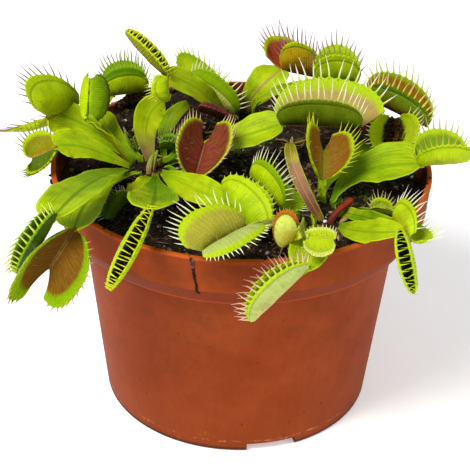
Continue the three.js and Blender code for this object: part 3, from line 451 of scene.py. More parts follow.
class Body:
    """Points, faces and what is painted on them, gathered into one mesh piece."""

    def __init__(self):
        self.points, self.faces, self.slots = [], [], []
        self.place, self.paint = [], {"tint": [], "edge": [], "flush": []}
        self.limit = []
        self.count = 0

    def add(self, points, faces, slots, place, tint, edge=None, flush=None, limit=0.8):
        """Adds points (n, 3) and a list of face arrays, each (m, corners), with a slot for each face."""
        self.limit.append(np.broadcast_to(limit, len(points)))
        n = len(points)
        self.points.append(points)
        self.place.append(np.broadcast_to(place, (n, 2)))
        for key, value in (("tint", tint), ("edge", edge), ("flush", flush)):
            self.paint[key].append(np.broadcast_to(tint if value is None else value, (n, 3)))
        for block, slot in zip(faces, slots):
            block = np.asarray(block) + self.count
            self.faces.extend(block.tolist())
            self.slots.append(np.broadcast_to(slot, len(block)))
        self.count += n

    def sheet(self, top, bottom, low, high, place, slots, over, under, limits=(0.8, 0.8)):
        """A closed sheet: each section runs across the top, round the high edge, back underneath and
        round the low edge. top and bottom are (rows, columns, 3); low and high are the middles of the
        rounded edges; over and under are the tint, edge and flush painted on the two faces, and limits
        says how far from the midrib each face's pattern reaches."""
        rows, columns = top.shape[:2]
        ring = np.concatenate([top, high[:, None], bottom[:, ::-1], low[:, None]], axis=1)
        size = 2 * columns + 2
        i, k = np.meshgrid(np.arange(rows - 1), np.arange(size), indexing="ij")
        a, b = i * size + k, i * size + (k + 1) % size
        quads = np.stack([a, b, b + size, a + size], -1).reshape(-1, 4)
        beneath = np.where((k >= columns) & (k <= 2 * columns), slots[1], slots[0]).ravel()
        k = np.arange(columns - 1)
        ends = np.array([0, (rows - 1) * size])
        strips = np.stack([k, k + 1, 2 * columns - k - 1, 2 * columns - k], -1) + ends[:, None, None]
        corners = np.array([[columns - 1, columns, columns + 1], [0, 2 * columns, 2 * columns + 1]])
        corners = corners + ends[:, None, None]
        wrap = lambda first, second: np.concatenate([first, first[:, -1:], second[:, ::-1], first[:, :1]], 1)
        shape = (rows, columns, 3)
        paint = [wrap(np.broadcast_to(p, shape), np.broadcast_to(q, shape)).reshape(-1, 3)
                 for p, q in zip(over, under)]
        self.add(ring.reshape(-1, 3), [quads, strips.reshape(-1, 4), corners.reshape(-1, 3)],
                 [beneath, slots[0], slots[0]], wrap(place, place).reshape(-1, 2), *paint,
                 limit=wrap(*(np.full((rows, columns), end) for end in limits)).ravel())

    def rods(self, paths, radii, sides, slot, tint, aside):
        """Round rods along paths (rods, steps, 3) with radii (rods, steps): a ring of points about
        each path point, square to the path, capped at both ends. tint is (rods, steps, 3)."""
        count, steps = paths.shape[:2]
        along = unit(np.gradient(paths, axis=1))
        side = unit(np.cross(along, aside[:, None]))
        up = np.cross(side, along)
        turn = np.arange(sides) / sides * 2 * np.pi
        ring = (np.cos(turn)[:, None] * side[:, :, None] + np.sin(turn)[:, None] * up[:, :, None])
        points = paths[:, :, None] + radii[:, :, None, None] * ring
        i, k = np.meshgrid(np.arange(steps - 1), np.arange(sides), indexing="ij")
        a, b = i * sides + k, i * sides + (k + 1) % sides
        quads = np.stack([a, b, b + sides, a + sides], -1).reshape(-1, 4)
        shift = (np.arange(count) * steps * sides)[:, None, None]
        walls = (quads[None] + shift).reshape(-1, 4)
        cap = np.stack([np.arange(sides), (steps - 1) * sides + np.arange(sides)])
        caps = (cap[None] + shift).reshape(-1, sides)
        where = np.stack(np.broadcast_arrays((turn / (2 * np.pi))[None, None],
                                             np.linspace(0, 1, steps)[None, :, None]), -1)
        where = np.broadcast_to(where, (count, steps, sides, 2)).reshape(-1, 2)
        colour = np.repeat(tint.reshape(-1, 3), sides, axis=0)
        self.add(points.reshape(-1, 3), [walls, caps], [slot, slot], where, colour)

    def piece(self, name, finishes, recalculate=True):
        """The gathered surfaces as one smooth-shaded object at the origin, in metres."""
        mesh = bpy.data.meshes.new(name)
        points = np.concatenate(self.points) * MM
        mesh.from_pydata(points.tolist(), [], self.faces)
        for finish in finishes:
            mesh.materials.append(finish)
        mesh.polygons.foreach_set("material_index", np.concatenate(self.slots).astype(np.int32))
        if recalculate:
            face_outward(mesh)
        corners = np.empty(len(mesh.loops), np.int32)
        mesh.loops.foreach_get("vertex_index", corners)
        place = np.concatenate(self.place)
        mesh.uv_layers.new(name="place").data.foreach_set("uv", place[corners].astype(np.float32).ravel())
        for key, values in self.paint.items():
            colour = np.ones((self.count, 4), np.float32)
            colour[:, :3] = np.concatenate(values)
            mesh.attributes.new(key, "FLOAT_COLOR", "POINT").data.foreach_set("color", colour.ravel())
        limits = np.concatenate(self.limit).astype(np.float32)
        mesh.attributes.new("limit", "FLOAT", "POINT").data.foreach_set("value", limits)
        mesh.polygons.foreach_set("use_smooth", np.ones(len(mesh.polygons), bool))
        mesh.update()
        thing = add_object(name, mesh)
        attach(thing, "root")
        return thing


# ---- Leaf shapes, as the solids have them ----


def soil_height(x, y):
    """Height of the soil: two low waves, and a dip beside the wall that grows as the fourth power."""
    out = np.hypot(x, y) / WALL
    waves = np.sin(x * 0.31 + 1.1) * np.cos(y * 0.27 - 0.4) + 0.5 * np.sin(x * 0.13 - y * 0.19)
    return SOIL_TOP + LUMPS * waves / 1.5 - SOIL_DIP * out ** 4


def root_of(leaf):
    """Where a stalk leaves the soil: a distance from the crown's middle, at a turn about it. The
    leaf's name starts with its crown's."""
    turn, distance = leaf["root"]
    x, y = CROWNS[leaf["name"].split("_")[0]]
    angle = math.radians(turn)
    return np.array([x + distance * math.cos(angle), y + distance * math.sin(angle), SOIL_TOP + 1.5])


def blade_outline(t, at, taper, end=1):
    """Half-width from 0 to 1: a sine raised to taper up to at, then a rounded fall to end."""
    rise = np.sin(np.pi / 2 * np.clip(t / at, 0, 1)) ** taper
    past = np.clip((t - at) / (end - at), 0, 1)
    fall = np.clip(1 - past ** 2.2, 0, 1) ** 0.6
    return np.where(t < at, rise, fall)


def pick(looks, key, which):
    """The colour named for one of the two lobes; a single name serves both."""
    names = looks[key].split()
    return names[min(which, len(names) - 1)]


def blade_path(leaf):
    """The blade's sections: their middles, the way the blade runs there, how far along they are, and
    the way it runs at its widest. It goes straight up out of the soil, then along a quadratic curve
    through the middle of the widest part to the neck, and a little on inside the trap's hinge."""
    foot, neck, widest = root_of(leaf), np.array(leaf["neck"]), np.array(leaf["widest"])
    at = leaf["at"]
    bend = (widest - (1 - at) ** 2 * foot - at ** 2 * neck) / (2 * at * (1 - at))
    t = np.concatenate([np.zeros(2), np.linspace(0, 1, BLADE_ROWS)])
    tt = t[:, None]
    path = (1 - tt) ** 2 * foot + 2 * tt * (1 - tt) * bend + tt ** 2 * neck
    along = unit(2 * (1 - tt) * (bend - foot) + 2 * tt * (neck - bend))
    upright = np.array([0, 0, 1.0])
    along[0] = upright
    along[1] = upright
    along[2] = unit(along[2] + upright)
    path[0] -= [0, 0, 1.1 + ROOT_DEPTH]
    path[1] -= [0, 0, 1.2]
    if "tip" in leaf:
        hinge = unit(np.array(leaf["tip"]) - neck)
        path = np.concatenate([path, (neck + hinge * HINGE_OVERLAP)[None]])
        along = np.concatenate([along, hinge[None]])
        t = np.append(t, 1)
    heading = unit(2 * (1 - at) * (bend - foot) + 2 * at * (neck - bend))
    return path, along, t, heading


def add_blade(body, leaf, looks):
    """A folded sheet along the blade's path: half-width follows the outline, edges rise with the
    fold and ripple, the shoulders reach past the neck, and a ridge runs under the midrib."""
    path, along, t, heading = blade_path(leaf)
    side, stalk = np.array(leaf["side"]), leaf.get("stalk", STALK)
    flip = -1 if np.cross(side, heading)[2] < 0 else 1
    across = unit(side - along * (along @ side)[:, None])
    up = np.cross(across, along) * flip
    outline = blade_outline(t, leaf["at"], leaf["taper"], leaf.get("end", 1)) * (t > 0)
    half = stalk + (NECK - stalk) * t + (np.linalg.norm(side) - (STALK + NECK) / 2) * outline
    s = np.linspace(-1, 1, BLADE_COLUMNS)
    bow = np.abs(s) ** 1.5
    wave = np.sin(t[:, None] * 14 + np.sign(s) * 2) + 0.35 * np.sin(t[:, None] * 37 + s * 5)
    lift = FOLD * half[:, None] * bow + RIPPLE * outline[:, None] * wave * np.abs(s) ** 2.5
    reach = leaf.get("ear", EAR) * (outline * t ** 3)[:, None] * s ** 2
    middle = (path[:, None] + across[:, None] * (half[:, None] * s)[..., None]
              + up[:, None] * lift[..., None] + along[:, None] * reach[..., None])
    hump = np.exp(-(s * half[:, None] / RIDGE_WIDTH) ** 2)
    ridge = hump * (RIDGE_HEIGHT + 0.16 * (1 - t[:, None]))
    thin = BLADE_THICK * (1 - 0.35 * np.abs(s) ** 4)
    bare = (outline <= 0.02)[:, None]
    thick = thin + ridge * ~bare + STALK_THICK * bare
    bottom = middle - up[:, None] * thick[..., None]
    nudge = across * 0.16
    low = (middle[:, 0] + bottom[:, 0]) / 2 - nudge
    high = (middle[:, -1] + bottom[:, -1]) / 2 + nudge
    root, mid, end = (linear(c) for c in looks["blade"].split())
    early, late = smooth(0.02, 0.42, t)[:, None], smooth(0.5, 0.98, t)[:, None]
    tint = np.repeat(blend(blend(root, mid, early), end, late)[:, None], len(s), axis=1)
    place = np.stack(np.broadcast_arrays((s * 0.5 + 0.5)[None], t[:, None]), -1)
    paint = (tint, linear(looks["rib"]), linear(looks["rib"]))
    body.sheet(middle, bottom, low, high, place, (0, 0), paint, paint)


def lobe_frame(leaf, which):
    """Middle, half midrib, rise to the margin and outward side of one lobe."""
    neck, tip = np.array(leaf["neck"], float), np.array(leaf["tip"], float)
    middle = (neck + tip) / 2
    half_rib = tip - middle
    rise = np.array(leaf["lobes"][which]) - middle
    other = np.array(leaf["lobes"][1 - which]) - middle
    outward = unit(np.cross(half_rib, rise))
    if outward @ (unit(rise) - unit(other)) < 0:
        outward = -outward
    return middle, half_rib, rise, outward


def lobe_point(leaf, which, u, v):
    """A half-oval from the midrib (v = 0) to the margin (v = 1): u turns from the neck to the tip,
    the height is a power of the sine of the turn, the margin reaches past the midrib's ends
    by the flare, and the sheet swells outward by the bulge and curls out at the very margin."""
    middle, half_rib, rise, outward = lobe_frame(leaf, which)
    u, v = np.broadcast_arrays(u, v)
    angle = LOBE_START + (np.pi - 2 * LOBE_START) * u
    along = -np.cos(angle) / np.cos(LOBE_START)
    height = np.sin(angle) ** leaf.get("round", 0.6)
    flare_neck, flare_tip = leaf["flare"][which]
    reach = 1 + 2 * v * np.where(along < 0, flare_neck, flare_tip)
    swell = leaf["bulge"] * np.sin(np.pi * np.clip(v, 0, 1) ** 0.9) * height
    curl = 0.45 * smooth(0.84, 1, v) * height
    return (middle + half_rib * (along * reach)[..., None] + rise * (height * v)[..., None]
            + outward * (swell + curl)[..., None])


def lobe_normal(leaf, which, u, v):
    """Unit normal of a lobe on its outer side, from small steps along u and v."""
    step = 0.01
    point = lambda a, b: lobe_point(leaf, which, np.clip(a, 0, 1), np.clip(b, 0, 1))
    along_u = point(u + step, v) - point(u - step, v)
    along_v = point(u, v + step) - point(u, v - step)
    normal = unit(np.cross(along_u, along_v))
    outward = lobe_frame(leaf, which)[3]
    return np.where((normal @ outward)[..., None] < 0, -normal, normal)


def tooth_places(leaf, which):
    """Where teeth stand along a margin, from 0 to 1; the two lobes' teeth alternate."""
    count = leaf["teeth"] - which
    return (np.arange(count) + 0.5 + which / 2) / leaf["teeth"]


def add_lobe(body, leaf, which, looks):
    """One lobe: a thin sheet with a scalloped margin, painted by its place on the lobe."""
    u = np.linspace(0, 1, LOBE_ROWS)[:, None]
    v = np.concatenate([np.linspace(0, 0.8, 10)[:-1], np.linspace(0.8, 1, 6)])[None]
    phase = (u * leaf["teeth"] - which / 2) * 2 * np.pi
    scallop = 1 + SCALLOP * (np.cos(phase - np.pi) - 0.2) * smooth(0.8, 1, v)
    surface = lobe_point(leaf, which, u, v * scallop)
    normal = lobe_normal(leaf, which, u, np.clip(v, 0.01, 0.97))
    size = np.linalg.norm(lobe_frame(leaf, which)[2])
    u2, v2 = np.broadcast_arrays(u, v)
    pleat = 0.06 * np.sin(u * np.pi * 46) * smooth(0, 0.3, v) * (1 - smooth(0.8, 0.9, v))
    grain = 0.12 * lattice(u2 * 30, v2 * size * 1.3, 3, leaf["seed"])
    surface = surface + normal * (pleat + grain)[..., None]
    outside = surface + normal * LOBE_HALF_THICK
    inside = surface - normal * LOBE_HALF_THICK
    direction = unit(surface[:, -1] - surface[:, -2])
    high = surface[:, -1] + direction * 0.2
    low = surface[:, 0]
    place = np.stack([v2, u2], -1)
    over = [linear(pick(looks, key, which)) for key in ("outside", "band", "flush")]
    under = [linear(pick(looks, key, which)) for key in ("inside", "band", "heart")]
    limits = (looks.get("band_at", BAND_AT), looks.get("field", BAND_AT))
    body.sheet(outside, inside, low, high, place, (1, 2), over, under, limits)


def add_teeth(body, leaf, which, looks):
    """A tooth at each place on the margin: out from the margin, spread like a fan, longest in the
    middle, tapered to a point and bent a little over the trap's mouth."""
    u = tooth_places(leaf, which)
    _, half_rib, _, outward = lobe_frame(leaf, which)
    foot = lobe_point(leaf, which, u, 1.0)
    plain = unit(lobe_point(leaf, which, u, 0.93) - lobe_point(leaf, which, u, 0.72))
    heading = unit(plain + unit(half_rib) * (0.5 * (2 * u - 1))[:, None])
    shake = np.random.default_rng(leaf["seed"] + which)
    length = leaf["tooth"] * (0.62 + 0.42 * np.sin(np.pi * u)) * shake.uniform(0.75, 1.1, len(u))
    length *= looks.get("reach", (1, 1))[which]
    hook = leaf.get("hook", 0)
    heading = unit(heading - outward * hook + shake.normal(0, 0.06, (len(u), 3)))
    s = np.linspace(0, 1, 8)
    drift = -outward * (0.14 + 0.3 * hook) + shake.normal(0, 0.09, (len(u), 3))
    path = ((foot - heading * 0.5)[:, None] + heading[:, None] * ((length + 0.5)[:, None] * s)[..., None]
            + drift[:, None] * (length[:, None] * s ** 2)[..., None])
    thick = np.clip(0.15 + 0.011 * np.linalg.norm(half_rib), 0.18, 0.28) * shake.uniform(0.85, 1.15, len(u))
    taper = 0.55 * (1 - s) ** 3 + (1 - s ** 1.5) * 0.8 + 0.09
    radii = thick[:, None] * taper
    root, tip = (linear(c) for c in looks["teeth"].split())
    tint = np.repeat(blend(root, tip, smooth(0.05, 0.6, s)[:, None])[None], len(u), axis=0)
    body.rods(path, radii, 6, 3, tint, np.broadcast_to(outward, (len(u), 3)))


def add_hairs(body, leaf, which):
    """Three short bristles that stand in from the inside of a lobe and set the trap off."""
    u, v = np.array([0.36, 0.5, 0.64]), np.array([0.42, 0.58, 0.42])
    foot = lobe_point(leaf, which, u, v)
    inward = -lobe_normal(leaf, which, u, v)
    s = np.linspace(0, 1, 5)
    path = foot[:, None] + inward[:, None] * (HAIR_LENGTH * s)[None, :, None]
    radii = np.repeat((0.09 * (1 - s) + 0.02)[None], 3, axis=0)
    tint = np.broadcast_to(linear("straw") * 0.7, (3, 5, 3))
    body.rods(path, radii, 5, 3, tint, np.broadcast_to([0.3, 1, 0.2], (3, 3)))


def add_shreds(body, leaf):
    """Dried brown shreds that fill a spent trap: crumpled strands from one lobe to the other."""
    random = np.random.default_rng(leaf["seed"] + 50)
    count = 46
    ends = []
    for which in (0, 1):
        u, v = random.uniform(0.1, 0.9, count), random.uniform(0.05, 0.5, count) ** 1.3
        ends.append(lobe_point(leaf, which, u, v))
    s = np.linspace(0, 1, 7)
    path = blend(ends[0][:, None], ends[1][:, None], s[:, None])
    path = path + random.normal(0, 0.9, path.shape) * np.sin(np.pi * s)[:, None]
    radii = random.uniform(0.2, 0.55, (count, 1)) * (1 - 0.75 * np.abs(2 * s - 1) ** 3)
    share = random.uniform(0, 1, (count, 1, 1)) ** 2
    tint = blend(linear("bark"), linear("brown"), share) + 0 * path
    body.rods(path, radii, 5, 3, tint, np.broadcast_to([0.2, 0.3, 1], (count, 3)))


def add_midrib(body, leaf, looks):
    """A slim rod along the hinge, thickest near the neck."""
    neck, tip = np.array(leaf["neck"], float), np.array(leaf["tip"], float)
    s = np.linspace(-0.02, 1.03, 14)
    along = tip - neck
    size = np.linalg.norm(along)
    path = (neck + along * s[:, None])[None]
    radii = (np.clip(0.03 * size, 0.4, 0.75) * (1 - 0.55 * np.clip(s, 0, 1) ** 2)
             * np.clip((1.05 - s) * 9, 0.15, 1) ** 0.5)[None]
    tint = np.broadcast_to(linear(pick(looks, "heart", 0)), (1, len(s), 3))
    aside = lobe_frame(leaf, 0)[3][None]
    body.rods(path, radii, 10, 3, tint, aside)


def make_leaf(leaf, finishes):
    """One whole leaf in place of its plainer solid: the blade and, where it bears a trap, the two
    lobes with their teeth and trigger hairs and the midrib between them."""
    looks = LOOKS[leaf["name"]]
    body = Body()
    add_blade(body, leaf, looks)
    if "tip" in leaf:
        for which in (0, 1):
            add_lobe(body, leaf, which, looks)
            add_teeth(body, leaf, which, looks)
            add_hairs(body, leaf, which)
        add_midrib(body, leaf, looks)
        if looks.get("spent"):
            add_shreds(body, leaf)
    piece = body.piece("flytrap_" + leaf["name"], finishes)
    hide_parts("leaf_" + leaf["name"])
    return piece


# ---- Finishes ----


class Wire:
    """A node's output that can be used in sums like a number."""

    def __init__(self, finish, socket):
        self.finish, self.socket = finish, socket

    def sum_with(self, operation, *terms):
        """A Math node that works on the terms."""
        return self.finish.node("ShaderNodeMath", dict(operation=operation), dict(enumerate(terms)))

    def __add__(self, other):
        return self.sum_with("ADD", self, other)

    def __sub__(self, other):
        return self.sum_with("SUBTRACT", self, other)

    def __rsub__(self, other):
        return self.sum_with("SUBTRACT", other, self)

    def __mul__(self, other):
        return self.sum_with("MULTIPLY", self, other)

    def __truediv__(self, other):
        return self.sum_with("DIVIDE", self, other)

    def __pow__(self, other):
        return self.sum_with("POWER", self, other)

    def __abs__(self):
        return self.sum_with("ABSOLUTE", self)

    def sine(self):
        """The sine, in radians."""
        return self.sum_with("SINE", self)

    __radd__, __rmul__ = __add__, __mul__


class Finish:
    """A material: its shader's fixed values, and the nodes that vary its colour and surface."""

    def __init__(self, name, **fixed):
        self.material = bpy.data.materials.new(name)
        self.material.use_nodes = True
        self.tree = self.material.node_tree
        self.shader = self.tree.nodes["Principled BSDF"]
        for key, value in fixed.items():
            self.shader.inputs[key.replace("_", " ")].default_value = value

    def node(self, kind, settings, inputs, output=0):
        """Adds a node, sets it up, and gives back one of its outputs."""
        made = self.tree.nodes.new(kind)
        for key, value in settings.items():
            setattr(made, key, value)
        for key, value in inputs.items():
            if isinstance(value, Wire):
                self.tree.links.new(value.socket, made.inputs[key])
            else:
                made.inputs[key].default_value = value
        return Wire(self, made.outputs[output])

    def position(self):
        """Where the point is, in the piece's own coordinates."""
        return self.node("ShaderNodeTexCoord", {}, {}, "Object")

    def place(self):
        """The two numbers kept in the piece's own UV map."""
        both = self.node("ShaderNodeUVMap", dict(uv_map="place"), {})
        return (self.node("ShaderNodeSeparateXYZ", {}, {0: both}, 0),
                self.node("ShaderNodeSeparateXYZ", {}, {0: both}, 1))

    def painted(self, name):
        """A colour painted on the piece's points."""
        return self.node("ShaderNodeAttribute", dict(attribute_name=name), {}, "Color")

    def limit(self):
        """How far from the midrib this face's pattern reaches, from 0 to 1."""
        return self.node("ShaderNodeAttribute", dict(attribute_name="limit"), {}, "Fac")

    def noise(self, size, detail=3, rough=0.55, stretch=(1, 1, 1)):
        """Cloudy noise from 0 to 1 whose blobs are about size millimetres across."""
        where = self.node("ShaderNodeMapping", {}, {"Vector": self.position(), "Scale": stretch})
        return self.node("ShaderNodeTexNoise", {}, {"Vector": where, "Scale": 1 / (size * MM),
                                                    "Detail": detail, "Roughness": rough})

    def streaks(self, across, along, wide, long):
        """Noise drawn out along one of the piece's own two numbers."""
        where = self.node("ShaderNodeCombineXYZ", {}, {0: across * wide, 1: along * long})
        return self.node("ShaderNodeTexNoise", {}, {"Vector": where, "Scale": 1.0, "Detail": 4,
                                                    "Roughness": 0.6})

    def dots(self, size):
        """Distance to the nearest of many scattered points, about size millimetres apart."""
        return self.node("ShaderNodeTexVoronoi", {}, {"Vector": self.position(), "Scale": 1 / (size * MM)},
                         "Distance")

    def between(self, low, high, value):
        """0 below low, 1 above high, smooth between; high may be the smaller, to turn it round."""
        ends = {"From Min": low, "From Max": high}
        if low > high:
            ends = {"From Min": high, "From Max": low, "To Min": 1.0, "To Max": 0.0}
        return self.node("ShaderNodeMapRange", dict(interpolation_type="SMOOTHSTEP"),
                         {"Value": value, **ends})

    def mix(self, mask, first, second):
        """Two colours mixed by a mask."""
        four = lambda c: c if isinstance(c, Wire) else (*map(float, c), 1.0)
        return self.node("ShaderNodeMix", dict(data_type="RGBA"),
                         {0: mask, 6: four(first), 7: four(second)}, 2)

    def shade(self, colour, amount):
        """A colour made darker or lighter by a factor that varies."""
        factor = self.node("ShaderNodeCombineXYZ", {}, {0: amount, 1: amount, 2: amount})
        return self.node("ShaderNodeVectorMath", dict(operation="MULTIPLY"), {0: colour, 1: factor})

    def done(self, colour, roughness=None, height=None, depth=0.2):
        """Joins the colour, the roughness and the bumps (height 1 stands depth millimetres proud)."""
        self.tree.links.new(colour.socket, self.shader.inputs["Base Color"])
        if roughness is not None:
            self.tree.links.new(roughness.socket, self.shader.inputs["Roughness"])
        if height is not None:
            bump = self.node("ShaderNodeBump", {}, {"Strength": 1.0, "Distance": depth * MM,
                                                    "Height": height})
            self.tree.links.new(bump.socket, self.shader.inputs["Normal"])
        return self.material


FLESH = dict(Subsurface_Weight=0.1, Subsurface_Radius=(0.8, 1.0, 0.2), Subsurface_Scale=0.001,
             Specular_IOR_Level=0.08)


def blade_finish():
    """Leaf blade: streaks and fine veins along it, cloudy, yellow and darker green patches, a midrib
    of its own colour, a painted highlight along the margin and dark specks."""
    f = Finish("leaf_blade", **FLESH)
    across, along = f.place()
    out = abs(across - 0.5) * 2
    cloud = f.noise(6)
    grain = f.noise(0.7, 4)
    veins = (across * 150 + cloud * 5).sine()
    strands = f.streaks(across, along, 26, 3.5)
    rib = f.between(0.13, 0.03, out + (grain - 0.5) * 0.03)
    # painted highlight: the band along the blade's edges
    margin = f.between(0.84, 0.97, out)
    specks = f.between(0.2, 0.1, f.dots(2.2)) * f.between(0.55, 0.68, f.noise(7))
    colour = f.mix(f.between(0.42, 0.68, strands) * 0.4, f.painted("tint"), linear("deep"))
    colour = f.shade(colour, 0.36 + cloud * 0.86 + grain * 0.26 + veins * 0.04)
    colour = f.mix(f.between(0.5, 0.7, f.noise(11)) * 0.42, colour, linear("yellow"))
    colour = f.mix(f.between(0.5, 0.7, f.noise(14, 4)) * 0.45, colour, linear("leaf"))
    colour = f.mix(rib * 0.7, colour, f.painted("edge"))
    # the edges lightened towards bright green: a painted highlight
    colour = f.mix(margin * 0.45, colour, linear("bright"))
    colour = f.mix(specks * 0.5, colour, linear("brown"))
    return f.done(colour, 0.34 + grain * 0.2, veins * 0.16 + grain * 0.7 + rib * 0.8, 0.14)


def lobe_outside_finish():
    """Outside of a trap: a band along the margin set off by a fine line, faint ribs from the midrib
    to the margin, a flush of another colour near the midrib, cloudy patches and dark specks."""
    f = Finish("lobe_outside", **FLESH)
    out, along = f.place()
    cloud, grain = f.noise(4.5), f.noise(0.55, 4)
    ribs = (along * 150 + cloud * 4).sine()
    strands = f.streaks(along, out, 40, 2.5)
    past = out - f.limit()
    band = f.between(-0.02, 0.02, past)
    line = f.between(-0.06, -0.015, past) * f.between(0.03, -0.01, past)
    flush = f.between(0.75, 0.05, out + (cloud - 0.5) * 0.9)
    specks = f.between(0.22, 0.12, f.dots(1.7)) * f.between(0.5, 0.62, f.noise(5)) * (1 - band)
    colour = f.mix(flush * 0.75, f.painted("tint"), f.painted("flush"))
    colour = f.shade(colour, 0.36 + cloud * 0.62 + grain * 0.26 + strands * 0.46 + ribs * 0.03)
    colour = f.mix(f.between(0.52, 0.72, f.noise(8, 4)) * 0.35, colour, linear("leaf"))
    colour = f.mix(band, colour, f.shade(f.painted("edge"), 0.66 + grain * 0.28 + cloud * 0.34))
    colour = f.mix(line * 0.45, colour, linear("moss"))
    colour = f.mix(specks * 0.55, colour, linear("rust"))
    return f.done(colour, 0.36 + grain * 0.22, ribs * 0.2 * (1 - band) + grain * 0.6 - line * 0.9, 0.16)


def lobe_inside_finish():
    """Inside of a trap: a coloured field dotted with glands, and a plain green band by the margin."""
    f = Finish("lobe_inside", **FLESH)
    out, along = f.place()
    cloud, grain = f.noise(4), f.noise(0.5, 4)
    field = f.between(0.06, -0.12, out - f.limit() + (cloud - 0.5) * 0.14)
    glands = f.between(0.42, 0.2, f.dots(0.55))
    ribs = (along * 110 + cloud * 4).sine()
    strands = f.streaks(along, out, 44, 2.0)
    centre = f.between(0.3, 0.03, out + (cloud - 0.5) * 0.2)
    colour = f.mix(f.between(0.35, 0.7, strands) * 0.3, f.painted("tint"), linear("olive"))
    colour = f.shade(colour, 0.58 + cloud * 0.42 + strands * 0.3 + glands * 0.2 + ribs * 0.03)
    colour = f.mix(field, f.shade(f.painted("edge"), 0.82 + grain * 0.3), colour)
    colour = f.mix(centre * 0.65, colour, f.painted("flush"))
    colour = f.mix(f.between(0.05, 0.02, out) * 0.6, colour, linear("tan"))
    return f.done(colour, 0.4 + grain * 0.2, glands * 0.6 + ribs * 0.25 + grain * 0.4, 0.14)


def tooth_finish():
    """Teeth and midribs: the painted colour with a fine waxy grain."""
    f = Finish("tooth", **FLESH)
    grain = f.noise(0.6, 3)
    return f.done(f.shade(f.painted("tint"), 0.82 + grain * 0.34), 0.34 + grain * 0.2, grain, 0.06)


def stem_finish():
    """Stalks and stumps: the painted colour with streaks along the stem."""
    f = Finish("stem", **FLESH)
    around, along = f.place()
    grain = f.noise(0.8, 4)
    streaks = (around * 16 * math.pi + grain * 3).sine()
    dark = f.between(0.5, 0.7, f.noise(3))
    colour = f.shade(f.painted("tint"), 0.75 + grain * 0.4 + streaks * 0.08)
    return f.done(f.mix(dark * 0.4, colour, linear("bark")), 0.45 + grain * 0.2, streaks * 0.4 + grain, 0.12)


def pot_finish():
    """Matt terracotta-coloured plastic: faint clouding and mould grain, a painted highlight along the top
    of the lip, painted shade on the ledge under the collar with a painted shadow line along each of its
    edges and a painted highlight on its lower corner, stains and specks of dirt, a broken pale scrape
    and grime round the foot, a green bloom low on the wall, and soil caked on the inner wall."""
    f = Finish("pot_plastic", Specular_IOR_Level=0.05)
    x, y, where = (f.node("ShaderNodeSeparateXYZ", {}, {0: f.position()}, axis) * (1 / MM)
                   for axis in range(3))
    within = f.between(WALL + 0.5, WALL, (x * x + y * y) ** 0.5) * f.between(69.4, 70, where)
    cloud, grain = f.noise(22, 4), f.noise(0.8, 4)
    mould = f.noise(1.6, 3, stretch=(1, 1, 0.25))
    dust = f.between(0.55, 0.75, f.noise(9, 6, 0.7))
    scuffs = f.between(0.66, 0.72, f.noise(3, 5, 0.7, (1, 1, 5)))
    bloom = f.between(0.6, 0.74, f.noise(5, 6, 0.7)) * f.between(13, 3, where)
    specks = f.between(0.11, 0.05, f.dots(5)) * f.between(0.45, 0.6, f.noise(30))
    # painted shade: the downward-facing slope of the ledge under the collar, picked out by height
    ledge = f.between(63.5, 64.3, where) * f.between(69.2, 68.8, where)
    # painted shadow: thin dark lines along the ledge's top and bottom edges
    shadow_lines = f.between(0.3, 0.1, abs(where - 69.25)) + f.between(0.5, 0.15, abs(where - 63.2))
    # painted highlight: a light line along the ledge's lower corner
    ledge_highlight = f.between(0.6, 0.2, abs(where - 64.0))
    # painted highlight: a lighter band along the top of the lip
    lip = f.between(80.1, 80.6, where + (grain - 0.5) * 0.6)
    drop = abs(where - 3.9 + (f.noise(7) - 0.5) * 3)
    scrapes = f.between(0.46, 0.6, f.noise(1.6, 5, 0.75)) * f.between(0.5, 0.1, drop)
    scrapes = scrapes * f.between(0.44, 0.54, f.noise(9))
    stains = f.between(0.46, 0.68, f.noise(14, 5, 0.65, (1, 1, 1.6))) * f.between(28, 58, where)
    splashes = f.between(0.52, 0.66, f.noise(2.5, 5, 0.7)) * f.between(0.52, 0.62, f.noise(16))
    grime = f.between(2.0, 0.8, where) + splashes * f.between(9, 2, where)
    caked = 0.35 + f.between(0.35, 0.6, f.noise(3, 5, 0.7)) * 0.6
    low = f.between(30, 8, where) * f.between(0.35, 0.7, cloud)
    colour = f.mix(f.between(0.3, 0.75, cloud), POT_COLOUR, POT_SHADE)
    colour = f.shade(colour, 0.7 + grain * 0.22 + mould * 0.2 + f.noise(5, 5, 0.7) * 0.2)
    colour = f.mix(low * 0.3, colour, POT_WARM)
    colour = f.mix(dust * 0.2, colour, linear("bark"))
    colour = f.mix(stains * 0.3, colour, POT_STAIN)
    # the lip lightened: a painted highlight
    colour = f.mix(lip * 0.8, colour, POT_LIP_HIGHLIGHT)
    # painted shade on the ledge
    colour = f.mix(ledge * 0.75, colour, POT_LEDGE_SHADE)
    # the painted shadow lines darken the ledge's edges, and the painted highlight lightens its lower corner
    colour = f.shade(colour, 1 - shadow_lines * 0.5 + ledge_highlight * 0.5)
    colour = f.mix(scrapes * 0.8, colour, POT_SCUFF)
    colour = f.mix(grime * 0.7, colour, linear("bark"))
    colour = f.mix(scuffs * 0.18, colour, POT_SCUFF)
    colour = f.mix(bloom * 0.4, colour, linear("olive"))
    colour = f.mix(specks * 0.6, colour, linear("bark"))
    colour = f.mix(within * caked, colour, linear("bark"))
    return f.done(colour, 0.48 + cloud * 0.12 + grain * 0.1, mould * 0.5 + grain * 0.5, 0.03)


